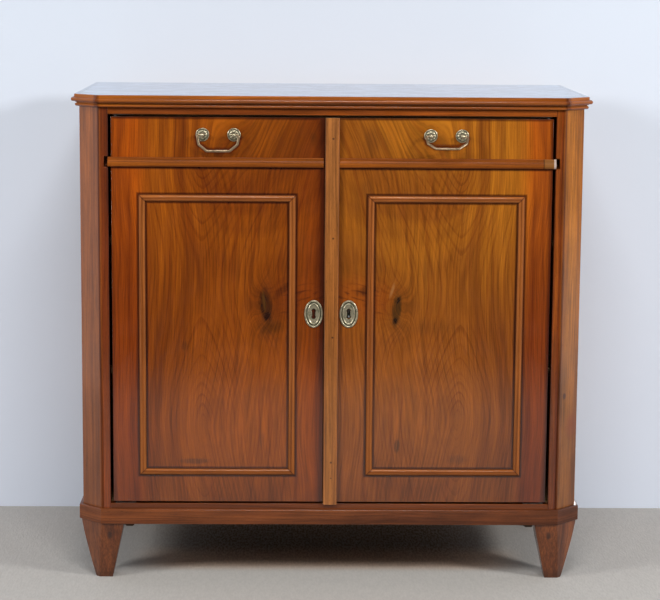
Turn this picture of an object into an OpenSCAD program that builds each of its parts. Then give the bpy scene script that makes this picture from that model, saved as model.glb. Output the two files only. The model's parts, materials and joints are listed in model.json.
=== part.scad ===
// Low cupboard with two full-height doors, canted corners, dummy drawer fronts and tapered feet.
// Millimetres. The front faces -Y, +X is to the right, +Z is up and the floor is z = 0.

/* [Carcase] */
// Width across the two side faces
carcase_w = 1100; // [900:10:1300]
// Depth from the front plane to the back
carcase_d = 545; // [440:5:620]
// Height from the floor to the top surface
total_h = 1077; // [960:1:1250]
// Reach of a canted corner along the front and along the side
cant = 47; // [30:1:58]
// Width of a front post from the side face to its inner edge
post_face = 65.5; // [62:0.5:90]
// Depth of a front post from front to back
post_d = 75; // [64:1:100]
// Thickness of the side panels
side_t = 20; // [16:1:26]
// Width of the rear stiles
stile_w = 45; // [35:1:70]
// Height of the rail behind the top edge of the back boards
rear_rail_h = 45; // [30:1:70]
// Thickness of the rail behind the top edge of the back boards
rear_rail_t = 20; // [16:1:26]
// Thickness of the back boards
back_t = 12; // [8:1:16]
// Number of back boards
back_count = 5; // [3:1:8]

/* [Top] */
// Thickness of the top board and of its edge strips
top_t = 18; // [16:1:24]
// Furthest reach of the edge strips past the carcase
edge_reach = 17; // [14:1:24]
// Radius of the bead along the edge strips
edge_bead_r = 4.5; // [4:0.5:6]
// Height of the bead's middle over the strips' lower edge
edge_bead_rise = 6.5; // [6:0.5:9]
// Reach of the flat lip above the bead
edge_lip = 10; // [9:0.5:12]
// Radius of the hollow under the bead
edge_hollow_r = 2.5; // [2:0.5:4]
// Height of the frieze rail
frieze_h = 23; // [20:1:40]
// Depth of the frieze rail from front to back
frieze_d = 40; // [36:1:60]
// Reach of the small bead under the edge strips
frieze_bead_reach = 8.6; // [6:0.1:12]
// Radius of the small bead
frieze_bead_r = 3.4; // [2:0.1:4]

/* [Base] */
// Height of the base boards
base_h = 34; // [25:1:60]
// Reach of the base boards past the carcase
base_reach = 8; // [6:0.5:14]
// Rounding of the base boards' top edge
base_round = 3; // [1:0.5:5]
// Height of the bottom rail that shows above the base board
rail_show = 11.5; // [6:0.5:30]
// Thickness of the bottom rail from front to back
rail_t = 22; // [20:1:30]
// Thickness of the bottom board
bottom_t = 22; // [16:1:24]
// Width of the bearers under the bottom board
bearer_w = 68; // [50:1:90]

/* [Feet] */
// Height of the feet
foot_h = 130.5; // [80:0.5:170]
// Reach of the top of a foot past the carcase
foot_reach = 4; // [0:0.5:6]
// Length of a foot's sides at the top
foot_side = 98; // [88:1:120]
// How far the outer faces of a foot draw in at the floor
foot_taper_out = 32; // [0:1:36]
// How far the inner faces of a foot draw in at the floor
foot_taper_in = 28; // [0:1:36]
// Leg of the foot's canted corner at the floor
foot_cant_low = 9; // [4:1:20]
// Power of the curve of the outer faces, 1 for a straight taper
foot_swell = 1.15; // [1:0.05:1.6]
// Radius of the round tenon on a foot
tenon_r = 11; // [8:0.5:14]
// Height of the round tenon on a foot
tenon_h = 18; // [10:1:20]
// Width of the glue blocks beside the feet
block_w = 25; // [15:1:30]
// Height of the glue blocks
block_h = 12.5; // [10:0.5:20]
// Length of the glue blocks
block_l = 42; // [30:1:48]

/* [Doors] */
// Thickness of a door with its veneer
door_t = 22; // [20:0.5:24]
// Thickness of the face veneer
veneer_t = 2; // [1:0.5:3]
// Gap between a door and its post
side_gap = 6.5; // [6:0.5:10]
// Gap between a door and the frieze rail
head_gap = 5.5; // [4:0.5:8]
// Gap between a door and the bottom rail
foot_gap = 5; // [4:0.5:8]
// Gap between the two doors
meeting_gap = 1; // [0.8:0.1:3]
// Width of the centre strip
strip_w = 31; // [26:1:34]
// Thickness of the centre strip
strip_t = 8; // [7:0.5:12]
// Rounding of the centre strip's long edges
strip_round = 3; // [1:0.5:4]
// How far the centre strip hangs below the doors
strip_drop = 5; // [0:0.5:8]
// Distance from the top of a door down to the divider moulding
divider_drop = 86.8; // [75:0.1:120]
// Height of the divider moulding
divider_h = 20.5; // [14:0.5:30]
// How far the divider moulding stands proud
divider_t = 6.5; // [4:0.5:6.5]
// How far the divider moulding runs past the door's hinged edge
divider_end = 7; // [0:0.5:7]
// Gap between the left divider moulding and the centre strip
divider_stop = 3.2; // [1.5:0.1:6]
// Depth of the notch in a post beside the divider moulding
notch_w = 9; // [9:0.5:11]
// Space above and below the divider moulding in that notch
notch_play = 1.2; // [0.6:0.1:3]

/* [Panel moulding] */
// Distance from the cupboard's middle to the panel moulding
panel_in = 77.5; // [66:0.5:100]
// Distance from a door's hinged edge to the panel moulding
panel_out = 58; // [40:0.5:90]
// Distance from the divider moulding down to the panel moulding
panel_top = 59.7; // [30:0.1:90]
// Distance from a door's bottom up to the panel moulding
panel_low = 59.5; // [40:0.5:100]
// Width of the panel moulding
panel_w = 16; // [10:0.5:24]
// How far the panel moulding stands proud
panel_t = 6; // [3:0.5:7]

/* [Pivots] */
// Distance from a door's hinged edge to its pivot line
pivot_in = 10; // [8:0.5:10]
// Distance from a door's face back to its pivot line
pivot_back = 11; // [9.5:0.5:12]
// Radius of the pivot pins
pivot_r = 3; // [2.5:0.1:3.5]
// Running clearance around pins
running = 0.05; // [0.02:0.01:0.1]
// Length of a pivot pin past its plate
pivot_l = 13; // [10:1:18]
// Length of a pivot plate
plate_l = 44; // [36:1:70]
// Width of a pivot plate
plate_w = 12; // [10:0.5:14]
// Thickness of a pivot plate
plate_t = 2; // [1.5:0.1:2.5]
// Radius of the thrust washers
washer_r = 5; // [4.5:0.1:6]

/* [Handles] */
// Distance from the cupboard's middle to a handle's middle
handle_x = 246.5; // [200:0.5:300]
// Distance from the top of a door down to the handle posts
handle_drop = 37.5; // [25:0.5:45]
// Distance between the two posts of a handle
handle_span = 68; // [60:1:90]
// Radius of a rosette
rosette_r = 14.5; // [11:0.5:15]
// Thickness of a rosette at its rim
rosette_rim = 1.6; // [1:0.1:2.5]
// Thickness of a rosette near its middle
rosette_t = 5; // [3:0.5:6]
// Radius of a handle post
post_r = 2.5; // [2:0.1:3]
// Radius of the ball on a handle post
ball_r = 4.8; // [4:0.1:5.5]
// Distance from the door's face out to the bail's pivot line
bail_out = 13; // [11.5:0.5:16]
// Radius of the bail
bail_r = 2.7; // [2:0.1:3]
// Radius of the bail's end pins
bail_pin_r = 1.8; // [1.4:0.1:2]
// Distance from a post out to the bail's arm
bail_arm = 11.5; // [9.5:0.5:14]
// Drop of the bail from its pivot line to its grip
bail_drop = 34.5; // [28:0.5:40]
// Radius of the bends along the bail
bail_bend = 4.5; // [3.5:0.1:5]
// Half length of the bail's straight grip
grip_half = 24.5; // [18:0.5:28]
// Height of the shoulder above the grip
shoulder_up = 14; // [8:0.5:18]
// How far the shoulder draws in from the arm
shoulder_in = 4; // [0:0.5:6]
// Angle at which the right bail stands out from its door
right_tilt = 44; // [0:1:50]

/* [Escutcheons] */
// Distance from the cupboard's middle to an escutcheon's middle
key_x = 38.3; // [37:0.1:60]
// Distance from the bottom of a door up to an escutcheon's middle
key_up = 421.6; // [300:0.1:520]
// Half width of an escutcheon
plate_a = 20.5; // [15:0.5:20.5]
// Half height of an escutcheon
plate_b = 30.5; // [22:0.5:34]
// Thickness of each of an escutcheon's three steps
plate_step = 1.1; // [0.8:0.1:1.4]
// Width of each of an escutcheon's steps
plate_ledge = 3.6; // [2:0.1:4]
// Radius of the two round ends of a keyhole
keyhole_r = 4.2; // [3.6:0.1:4.4]
// Width of a keyhole between its round ends
keyhole_w = 6.4; // [4.8:0.1:7]
// Distance between the middles of a keyhole's round ends
keyhole_span = 12; // [10:0.5:13]

/* [Lock] */
// Length of the lock case from the door's edge
lock_l = 85; // [75:1:100]
// Height of the lock case
lock_h = 76; // [70:1:90]
// Depth of the lock case
lock_d = 13; // [11:0.5:14]
// Thickness of the lock case's walls
lock_wall = 1.5; // [1:0.1:1.8]
// Length of the lock bolt
lock_bolt_l = 48; // [40:1:52]
// Height of the lock bolt
lock_bolt_h = 18; // [12:1:20]
// Thickness of the lock bolt
lock_bolt_t = 6; // [4:0.5:6]
// Throw of the lock bolt
lock_throw = 9; // [6:0.5:9]
// Height of the lock bolt's middle above the keyhole
lock_bolt_up = 20; // [17:0.5:21]
// Radius of the drill pin
drill_pin_r = 1.8; // [1.4:0.1:2]
// Height of the keeper plate
keeper_h = 50; // [40:1:70]
// Thickness of the keeper plate
keeper_t = 1.5; // [1:0.1:2]
// Clearance around the lock bolt in the left door's mortise
mortise_play = 1; // [0.6:0.1:1.2]
// Sliding clearance around the bolts
slide_play = 0.3; // [0.2:0.05:0.4]

/* [Flush bolts] */
// Distance from the cupboard's middle to the flush bolts
flush_x = 32; // [30:0.5:40]
// Length of a flush bolt
flush_l = 150; // [120:5:200]
// Width of a flush bolt
flush_w = 12; // [8:1:14]
// Thickness of a flush bolt
flush_t = 6; // [4:0.5:6]
// Throw of a flush bolt
flush_throw = 12; // [10:0.5:14]
// How far a drawn flush bolt lies inside the door's edge
flush_sunk = 1.5; // [1:0.5:4]
// Radius of the knob on a flush bolt
knob_r = 3.5; // [2.5:0.1:4]
// Length of the knob past the door's back
knob_l = 8; // [5:0.5:12]
// Thickness of the cover plate over a flush bolt
cover_t = 1.8; // [1.2:0.1:2]
// Width of that cover plate
cover_w = 22; // [18:1:24]

/* [Inside] */
// Thickness of the shelves
shelf_t = 18; // [15:1:24]
// Height of the lower shelf above the bottom board
shelf_low = 276; // [180:1:300]
// Height of the upper shelf above the bottom board
shelf_high = 566; // [480:1:620]
// Distance from the shelves' front edge back to the front plane
shelf_back = 80; // [60:1:140]
// Width of the shelf battens
batten_w = 15; // [10:1:25]
// Height of the shelf battens
batten_h = 22; // [15:1:30]
// Height of the door stops
stop_h = 15; // [10:1:22]
// Thickness of the door stops
stop_t = 12; // [8:1:14]
// Distance from a post to the end of the door stops
stop_end = 45; // [40:1:80]
// Radius of a screw's shank
screw_r = 1.5; // [1.2:0.1:2]
// Radius of a screw's head
screw_head = 2.8; // [2.4:0.1:3.2]
// Length of a screw
screw_l = 13; // [10:1:16]

/* [Hidden] */
$fn = 48;

// Colours of the woods and metals
wood_front = [0.52, 0.25, 0.09];
wood_edge = [0.60, 0.33, 0.15];
wood_strip = [0.69, 0.45, 0.29];
wood_base = [0.44, 0.25, 0.15];
wood_inside = [0.62, 0.47, 0.30];
wood_dark = [0.22, 0.13, 0.08];
brass = [0.72, 0.62, 0.38];
iron = [0.30, 0.29, 0.28];

half_w = carcase_w / 2;
turn = tan(22.5);
cut = 1;
seat = 0.3;

// Heights
top_z = total_h - top_t;
frieze_z = top_z - frieze_h;
floor_z = foot_h + base_h + rail_show;
door_z0 = floor_z + foot_gap;
door_z1 = frieze_z - head_gap;
divider_z1 = door_z1 - divider_drop;
divider_z0 = divider_z1 - divider_h;
handle_z = door_z1 - handle_drop;
key_z = door_z0 + key_up;

// Places across the front, measured from the middle towards the piece's own side
post_in = half_w - post_face;
door_out = post_in - side_gap;
pivot_x = door_out - pivot_in;
strip_half = strip_w / 2;
plate_x1 = pivot_x + plate_w / 2;
plate_x0 = plate_x1 - plate_l;
side_in = half_w - side_t;

// Depths from the front plane
back_y0 = carcase_d - back_t;
handle_reach = bail_out + bail_drop * sin(right_tilt) + bail_r;
front_y = -(carcase_d - handle_reach) / 2;

// A door's meeting edge: the right door carries the strip over its own edge
function meeting_x(side) = side > 0 ? -strip_half : strip_half + meeting_gap;

// Plan corners of the carcase, pushed outwards by p
function front_corner(p) = [half_w - cant + p * turn, -p];
function side_corner(p) = [half_w + p, cant - p * turn];
function mirrored(q) = [-q.x, q.y];

module placed() translate([0, front_y, 0]) children();

module on_side(side) {
    if (side < 0) mirror([1, 0, 0]) children();
    else children();
}

module block(lo, hi) translate(lo) cube(hi - lo);

// A strip along the plan line from a to b with the 2D profile of its children, which is drawn
// as reach past the carcase against height, mitred to the outer corners outer_a and outer_b
module moulded_run(a, b, outer_a, outer_b) {
    run = b - a;
    spare = 60;
    intersection() {
        linear_extrude(total_h + cut) polygon([a, b, outer_b, outer_a]);
        translate([a.x, a.y, 0])
            rotate([0, 0, atan2(run.y, run.x)])
                translate([-spare, 0, 0])
                    rotate([90, 0, 90])
                        linear_extrude(norm(run) + 2 * spare)
                            mirror([1, 0, 0]) children();
    }
}

module front_run(reach)
    moulded_run(mirrored(front_corner(0)), front_corner(0),
                mirrored(front_corner(reach + cut)), front_corner(reach + cut)) children();

// The canted strip and the side strip of the right-hand side, with a hairline at their mitre
hairline = 0.15;

module side_runs(reach) {
    outer = reach + cut;
    moulded_run(front_corner(0), side_corner(0), front_corner(outer), side_corner(outer))
        children();
    translate([0, hairline, 0])
        moulded_run(side_corner(0), [half_w, carcase_d - hairline], side_corner(outer),
                    [half_w + outer, carcase_d - hairline]) children();
}

// Flat lip, fat bead and hollow of the top's edge
module top_edge_profile() {
    bead_x = edge_reach - edge_bead_r;
    bead_z = top_z + edge_bead_rise;
    difference() {
        union() {
            translate([0, top_z]) square([edge_lip, top_t]);
            translate([0, bead_z - edge_bead_r]) square([bead_x, 2 * edge_bead_r]);
            translate([bead_x, bead_z]) circle(edge_bead_r);
        }
        translate([edge_lip, top_z]) circle(edge_hollow_r);
    }
}

// Small bead under the top's edge, on a thin strip
module frieze_bead_profile() {
    bead_x = frieze_bead_reach - frieze_bead_r;
    bead_z = top_z - 1.5 * frieze_bead_r;
    translate([0, bead_z - frieze_bead_r]) square([bead_x, top_z - bead_z + frieze_bead_r]);
    translate([bead_x, bead_z]) circle(frieze_bead_r);
}

// Base board with a rounded top edge
module base_profile() {
    translate([0, foot_h]) square([base_reach - base_round, base_h]);
    translate([0, foot_h]) square([base_reach, base_h - base_round]);
    translate([base_reach - base_round, foot_h + base_h - base_round]) circle(base_round);
}

module screw_shape(length) {
    translate([0, 0, -length]) cylinder(r = screw_r, h = length);
    translate([0, 0, -plate_t / 2]) cylinder(r = screw_head, h = plate_t / 2);
}

// The hole for such a screw, a little larger all round
module screw_hole(length) {
    translate([0, 0, -length - running]) cylinder(r = screw_r + running, h = length + cut);
    translate([0, 0, -plate_t / 2 - running])
        cylinder(r = screw_head + running, h = plate_t / 2 + cut);
}

// Places of the two screws of a pivot plate
plate_screws = [plate_x0 + plate_w / 2, (plate_x0 + plate_x1) / 2 + plate_w / 4];

module at_plate_screws(side, z, up)
    for (x = plate_screws)
        on_side(side) translate([x, pivot_back, z]) rotate([up > 0 ? 0 : 180, 0, 0]) children();

// Front post in plan, with the notch that the divider moulding swings through and the
// socket for the foot's tenon
module front_post(side) {
    color(wood_edge) placed() on_side(side) difference() {
        translate([0, 0, foot_h]) linear_extrude(top_z - foot_h)
            polygon([[post_in, 0], front_corner(0), side_corner(0), [half_w, post_d],
                     [post_in, post_d]]);
        block([post_in - cut, -cut, divider_z0 - notch_play],
              [post_in + notch_w, door_t + notch_w, divider_z1 + notch_play]);
        foot_tenon_place() tenon(running);
    }
}

module foot_tenon_place()
    translate([half_w + foot_reach - foot_side * 0.53, foot_side * 0.53 - foot_reach, foot_h])
        children();

module tenon(play) translate([0, 0, -cut]) cylinder(r = tenon_r + play, h = tenon_h + cut + play);

module front_post_left() front_post(-1);
module front_post_right() front_post(1);

// Rear stile with a rebate for the back boards
rebate = 10;

module rear_stile(side) {
    color(wood_edge) placed() on_side(side) difference() {
        block([side_in, carcase_d - stile_w, foot_h], [half_w, carcase_d, top_z]);
        block([side_in - cut, back_y0, foot_h - cut],
              [side_in + rebate, carcase_d + cut, top_z + cut]);
    }
}

module rear_stile_left() rear_stile(-1);
module rear_stile_right() rear_stile(1);

module side_panel(side)
    color(wood_front) placed() on_side(side)
        block([side_in, post_d, foot_h], [half_w, carcase_d - stile_w, top_z]);

module side_panel_left() side_panel(-1);
module side_panel_right() side_panel(1);

// Rail over the doors, with the upper pivot plates' screws and the top bolt's hole
module frieze_rail() {
    color(wood_front) placed() difference() {
        block([-post_in, 0, frieze_z], [post_in, frieze_d, top_z]);
        for (side = [-1, 1]) at_plate_screws(side, frieze_z - plate_t, -1) screw_hole(screw_l);
        on_side(-1) flush_bar(frieze_z - cut, frieze_z + flush_throw, slide_play);
    }
}

module bottom_rail() {
    color(wood_base) placed() difference() {
        block([-post_in, 0, foot_h], [post_in, rail_t, floor_z]);
        for (side = [-1, 1]) at_plate_screws(side, floor_z + plate_t, 1) screw_hole(screw_l);
        on_side(-1) flush_bar(floor_z - flush_throw, floor_z + cut, slide_play);
    }
}

module rear_top_rail() {
    color(wood_inside) placed() difference() {
        block([-side_in, back_y0 - rear_rail_t, top_z - rear_rail_h], [side_in, back_y0, top_z]);
        nail_rows([1]) nail(running);
    }
}

module bottom_board() {
    color(wood_inside) placed() difference() {
        translate([0, 0, floor_z - bottom_t]) linear_extrude(bottom_t)
            polygon([[-post_in, rail_t], [post_in, rail_t], [post_in, post_d],
                     [side_in, post_d], [side_in, back_y0], [-side_in, back_y0],
                     [-side_in, post_d], [-post_in, post_d]]);
        nail_rows([0]) nail(running);
    }
}

module top_board() {
    color(wood_front) placed() translate([0, 0, top_z]) linear_extrude(top_t)
        polygon([mirrored(front_corner(0)), front_corner(0), side_corner(0),
                 [half_w, carcase_d], [-half_w, carcase_d], mirrored(side_corner(0))]);
}

module top_edge_front() color(wood_edge) placed() front_run(edge_reach) top_edge_profile();
module top_edge_side(side)
    color(wood_edge) placed() on_side(side) side_runs(edge_reach) top_edge_profile();
module top_edge_left() top_edge_side(-1);
module top_edge_right() top_edge_side(1);

module frieze_bead_front()
    color(wood_edge) placed() front_run(frieze_bead_reach) frieze_bead_profile();
module frieze_bead_side(side)
    color(wood_edge) placed() on_side(side) side_runs(frieze_bead_reach) frieze_bead_profile();
module frieze_bead_left() frieze_bead_side(-1);
module frieze_bead_right() frieze_bead_side(1);

module base_board_front() color(wood_base) placed() front_run(base_reach) base_profile();
module base_board_side(side)
    color(wood_base) placed() on_side(side) side_runs(base_reach) base_profile();
module base_board_left() base_board_side(-1);
module base_board_right() base_board_side(1);

// Flat bearers under the bottom board, front, back and at both ends
module bearers() {
    bearer_z1 = floor_z - bottom_t;
    rear_y = carcase_d - foot_side;
    color(wood_inside) placed() difference() {
        union() {
            block([-post_in, rail_t, foot_h], [post_in, rail_t + bearer_w, bearer_z1]);
            block([-side_in, rear_y, foot_h], [side_in, back_y0, bearer_z1]);
            for (side = [-1, 1])
                on_side(side) block([side_in - bearer_w, max(post_d, rail_t + bearer_w), foot_h],
                                    [side_in, rear_y, bearer_z1]);
        }
        for (side = [-1, 1]) on_side(side) rear_foot_place() foot_tenon_local() tenon(running);
    }
}

// A foot drawn from the outer corner of its top: a runs inwards along the front and b
// inwards along the side. The level t goes from 0 at the top to 1 at the floor
foot_levels = 8;

function foot_ring(t, leg_top, leg_low) =
    let (s = foot_taper_out * pow(t, foot_swell),
         i = foot_side - foot_taper_in * t,
         leg = leg_top + (leg_low - leg_top) * t,
         z = foot_h * (1 - t))
    [[i, s, z], [s + leg, s, z], [s, s + leg, z], [s, i, z], [i, i, z]];

module foot_body(leg_top, leg_low) {
    corners = 5;
    points = [for (k = [0 : foot_levels])
                for (q = foot_ring(1 - k / foot_levels, leg_top, leg_low)) q];
    low = [for (j = [corners - 1 : -1 : 0]) j];
    high = [for (j = [0 : corners - 1]) foot_levels * corners + j];
    walls = [for (k = [0 : foot_levels - 1]) for (j = [0 : corners - 1])
                let (n = (j + 1) % corners, u = (k + 1) * corners, l = k * corners)
                [u + n, u + j, l + j, l + n]];
    polyhedron(concat(points), concat([low, high], walls));
    foot_tenon_local() tenon(0);
}

module foot_tenon_local() translate([foot_side * 0.53, foot_side * 0.53, foot_h]) children();

module front_foot_place()
    translate([half_w + foot_reach, -foot_reach, 0]) mirror([1, 0, 0]) children();
module rear_foot_place()
    translate([half_w + foot_reach, carcase_d, 0]) rotate([0, 0, 180]) children();

module foot_front(side)
    color(wood_base) placed() on_side(side) front_foot_place()
        foot_body(cant + foot_reach * (1 - turn), foot_cant_low);
module foot_rear(side)
    color(wood_base) placed() on_side(side) rear_foot_place()
        foot_body(foot_cant_low / 2, foot_cant_low / 2);
module foot_front_left() foot_front(-1);
module foot_front_right() foot_front(1);
module foot_rear_left() foot_rear(-1);
module foot_rear_right() foot_rear(1);

// A block beside a foot, with its lower far corner cut away
module glue_block() {
    bevel = block_h * 0.55;
    translate([0, block_l, 0]) rotate([90, 0, 0]) linear_extrude(block_l)
        polygon([[0, 0], [block_w, 0], [block_w, -block_h + bevel],
                 [block_w - bevel, -block_h], [foot_taper_in * block_h / foot_h, -block_h]]);
}

module glue_blocks() {
    color(wood_dark) placed() for (side = [-1, 1]) on_side(side) {
        foot_in = half_w + foot_reach - foot_side;
        translate([foot_in, rail_t + 2 * seat, foot_h]) mirror([1, 0, 0]) glue_block();
        translate([foot_in, carcase_d - block_l - back_t - seat, foot_h])
            mirror([1, 0, 0]) glue_block();
        translate([side_in - seat, foot_side - foot_reach, foot_h])
            rotate([0, 0, 90]) glue_block();
        translate([side_in - seat - block_l, carcase_d - foot_side, foot_h])
            rotate([0, 0, -90]) glue_block();
        for (y = [post_d + block_l, carcase_d / 2, carcase_d - stile_w - 2 * block_l])
            block([side_in - block_w, y, top_z - block_w], [side_in, y + block_l, top_z]);
    }
}

// Back boards side by side in the stiles' rebates
back_half = side_in + rebate - seat;
back_pitch = 2 * back_half / back_count;

module back_boards() {
    color(wood_inside) placed() difference() {
        for (k = [0 : back_count - 1])
            block([-back_half + k * back_pitch, back_y0, floor_z - bottom_t],
                  [-back_half + (k + 1) * back_pitch - seat, carcase_d, top_z]);
        nail_rows([0, 1]) nail(running);
    }
}

nail_r = 1.2;
nail_head = 2.6;
nail_l = 26;

module nail(play) rotate([90, 0, 0]) {
    cylinder(r = nail_r + play, h = nail_l + play);
    translate([0, 0, play > 0 ? -cut : 0]) cylinder(r = nail_head + play, h = cut + play +
                                                     (play > 0 ? cut : 0));
}

// Two nails in each board along the bottom board and along the rear top rail
module nail_rows(rows)
    for (row = rows) for (k = [0 : back_count - 1]) for (s = [0.25, 0.75])
        translate([-back_half + (k + s) * back_pitch, carcase_d,
                   row > 0 ? top_z - rear_rail_h / 2 : floor_z - bottom_t / 2]) children();

module shelf(up)
    color(wood_inside) placed()
        block([-side_in + seat, shelf_back, floor_z + up],
              [side_in - seat, back_y0 - seat, floor_z + up + shelf_t]);

module shelf_lower() shelf(shelf_low);
module shelf_upper() shelf(shelf_high);

module shelf_battens() {
    color(wood_inside) placed() for (side = [-1, 1]) for (up = [shelf_low, shelf_high])
        on_side(side) block([side_in - batten_w, shelf_back + batten_w, floor_z + up - batten_h],
                            [side_in, carcase_d - stile_w, floor_z + up]);
}

// Carcase plates of the pivots with their pins, and a thrust washer on each lower pin
module pivot_pins() {
    color(iron) placed() for (side = [-1, 1]) on_side(side) {
        difference() {
            block([plate_x0, pivot_back - plate_w / 2, frieze_z - plate_t],
                  [plate_x1, pivot_back + plate_w / 2, frieze_z]);
            at_plate_screws(1, frieze_z - plate_t, -1) screw_hole(screw_l);
        }
        translate([pivot_x, pivot_back, frieze_z - plate_t - pivot_l])
            cylinder(r = pivot_r, h = pivot_l + cut);
        difference() {
            block([plate_x0, pivot_back - plate_w / 2, floor_z],
                  [plate_x1, pivot_back + plate_w / 2, floor_z + plate_t]);
            at_plate_screws(1, floor_z + plate_t, 1) screw_hole(screw_l);
        }
        translate([pivot_x, pivot_back, floor_z + plate_t - cut])
            cylinder(r = pivot_r, h = pivot_l + cut);
        translate([pivot_x, pivot_back, floor_z + plate_t]) difference() {
            cylinder(r = washer_r, h = foot_gap - plate_t - seat);
            translate([0, 0, -cut]) cylinder(r = pivot_r + running, h = foot_gap + 2 * cut);
        }
    }
}

// Screws of the carcase's pivot plates, and the nails of the back boards
module carcase_fixings() {
    color(iron) placed() {
        for (side = [-1, 1]) {
            at_plate_screws(side, frieze_z - plate_t, -1) screw_shape(screw_l);
            at_plate_screws(side, floor_z + plate_t, 1) screw_shape(screw_l);
        }
        nail_rows([0, 1]) nail(0);
    }
}

// Battens that the doors close against, under the frieze rail and on the bottom board
module door_stops() {
    reach = post_in - stop_end;
    color(wood_inside) placed() {
        block([-reach, door_t + seat, frieze_z - stop_h], [reach, door_t + seat + stop_t, frieze_z]);
        block([-reach, door_t + seat, floor_z], [reach, door_t + seat + stop_t, floor_z + stop_h]);
    }
}

// Shapes cut from a door for its pivot plates, pins and their screws
module pivot_plate_cuts(side) {
    bore_play = 0.6;
    on_side(side) {
        block([plate_x0, pivot_back - plate_w / 2, door_z1 - plate_t],
              [plate_x1, pivot_back + plate_w / 2, door_z1 + cut]);
        block([plate_x0, pivot_back - plate_w / 2, door_z0 - cut],
              [plate_x1, pivot_back + plate_w / 2, door_z0 + plate_t]);
        translate([pivot_x, pivot_back, door_z1 - pivot_l])
            cylinder(r = pivot_r + bore_play, h = pivot_l + cut);
        translate([pivot_x, pivot_back, door_z0 - cut])
            cylinder(r = pivot_r + bore_play, h = pivot_l + cut);
    }
    at_plate_screws(side, door_z1, 1) screw_hole(screw_l);
    at_plate_screws(side, door_z0, -1) screw_hole(screw_l);
}

module handle_holes(side)
    for (s = [-1, 1])
        on_side(side) translate([handle_x + s * handle_span / 2, -cut, handle_z])
            rotate([-90, 0, 0]) cylinder(r = post_r + running, h = door_t + 2 * cut);

// Keyhole: two round ends with a slot between them, cut from y0 to y1. The key turns in the
// lower end, on the drill pin
pin_z = key_z - keyhole_span / 2;

module keyhole(y0, y1) {
    for (z = [pin_z, pin_z + keyhole_span])
        translate([key_x, y0, z]) rotate([-90, 0, 0]) cylinder(r = keyhole_r, h = y1 - y0);
    block([key_x - keyhole_w / 2, y0, pin_z],
          [key_x + keyhole_w / 2, y1, pin_z + keyhole_span]);
}

lock_y0 = door_t - lock_d;
lock_bolt_y = lock_y0 + lock_d / 2;
lock_bolt_z = key_z + lock_bolt_up;

// Cross-section of the lock bolt, widened by play, from x0 to x1
module lock_bar(x0, x1, play)
    block([x0, lock_bolt_y - lock_bolt_t / 2 - play, lock_bolt_z - lock_bolt_h / 2 - play],
          [x1, lock_bolt_y + lock_bolt_t / 2 + play, lock_bolt_z + lock_bolt_h / 2 + play]);

// Bar of a flush bolt, widened by play, from z0 to z1, drawn for the right-hand side
flush_y0 = door_t - cover_t - slide_play - flush_t;

module flush_bar(z0, z1, play)
    block([flush_x - flush_w / 2 - play, flush_y0 - play, z0],
          [flush_x + flush_w / 2 + play, flush_y0 + flush_t + play, z1]);

cover_l = flush_l + flush_throw + cover_w / 2;

// Core of a door behind its veneer
module door_core(side) {
    on_side(side) block([meeting_x(side), veneer_t, door_z0], [door_out, door_t, door_z1]);
}

module left_door() {
    color(wood_inside) placed() difference() {
        door_core(-1);
        pivot_plate_cuts(-1);
        handle_holes(-1);
        on_side(-1) {
            flush_channel();
            mirror_height() flush_channel();
            lock_bar(meeting_x(-1) - cut, meeting_x(-1) + lock_throw + keeper_t,
                     mortise_play);
            keeper_blank(cut);
        }
    }
}

// Reflects a shape at the top of a door to its bottom
module mirror_height()
    translate([0, 0, door_z0 + door_z1]) mirror([0, 0, 1]) children();

module flush_channel() {
    flush_bar(door_z1 - cover_l, door_z1 + cut, slide_play);
    cover_blank(cut);
}

module cover_blank(extra)
    block([flush_x - cover_w / 2, door_t - cover_t, door_z1 - cover_l - cover_w / 2],
          [flush_x + cover_w / 2, door_t + extra, door_z1 + extra]);

// Thin plate over a flush bolt, with a slot for the knob to travel in
module bolt_cover() {
    knob_z = flush_knob_z();
    difference() {
        cover_blank(0);
        block([flush_x - knob_r - slide_play, door_t - cover_t - cut, knob_z - knob_r - slide_play],
              [flush_x + knob_r + slide_play, door_t + cut,
               knob_z + flush_throw + knob_r + slide_play]);
    }
}

function flush_knob_z() = door_z1 - flush_sunk - flush_l * 0.75;

module left_bolt_covers() {
    color(iron) placed() on_side(-1) {
        bolt_cover();
        mirror_height() bolt_cover();
    }
}

module flush_bolt() {
    flush_bar(door_z1 - flush_sunk - flush_l, door_z1 - flush_sunk, 0);
    translate([flush_x, flush_y0 + flush_t - cut, flush_knob_z()])
        rotate([-90, 0, 0]) cylinder(r = knob_r, h = cover_t + slide_play + cut + knob_l);
}

module top_bolt() color(iron) placed() on_side(-1) flush_bolt();
module bottom_bolt() color(iron) placed() on_side(-1) mirror_height() flush_bolt();

module keeper_blank(extra)
    block([meeting_x(-1) - extra, lock_bolt_y - lock_bolt_t, lock_bolt_z - keeper_h / 2],
          [meeting_x(-1) + keeper_t, lock_bolt_y + lock_bolt_t, lock_bolt_z + keeper_h / 2]);

module left_keeper() {
    color(brass) placed() on_side(-1) difference() {
        keeper_blank(0);
        lock_bar(meeting_x(-1) - cut, meeting_x(-1) + keeper_t + cut, mortise_play);
    }
}

module right_door() {
    color(wood_inside) placed() difference() {
        door_core(1);
        pivot_plate_cuts(1);
        handle_holes(1);
        keyhole(0, door_t);
        lock_blank(cut);
    }
}

module lock_blank(extra)
    block([meeting_x(1) - extra, lock_y0, key_z + lock_bolt_up / 2 - lock_h / 2],
          [meeting_x(1) + lock_l, door_t + extra, key_z + lock_bolt_up / 2 + lock_h / 2]);

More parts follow.
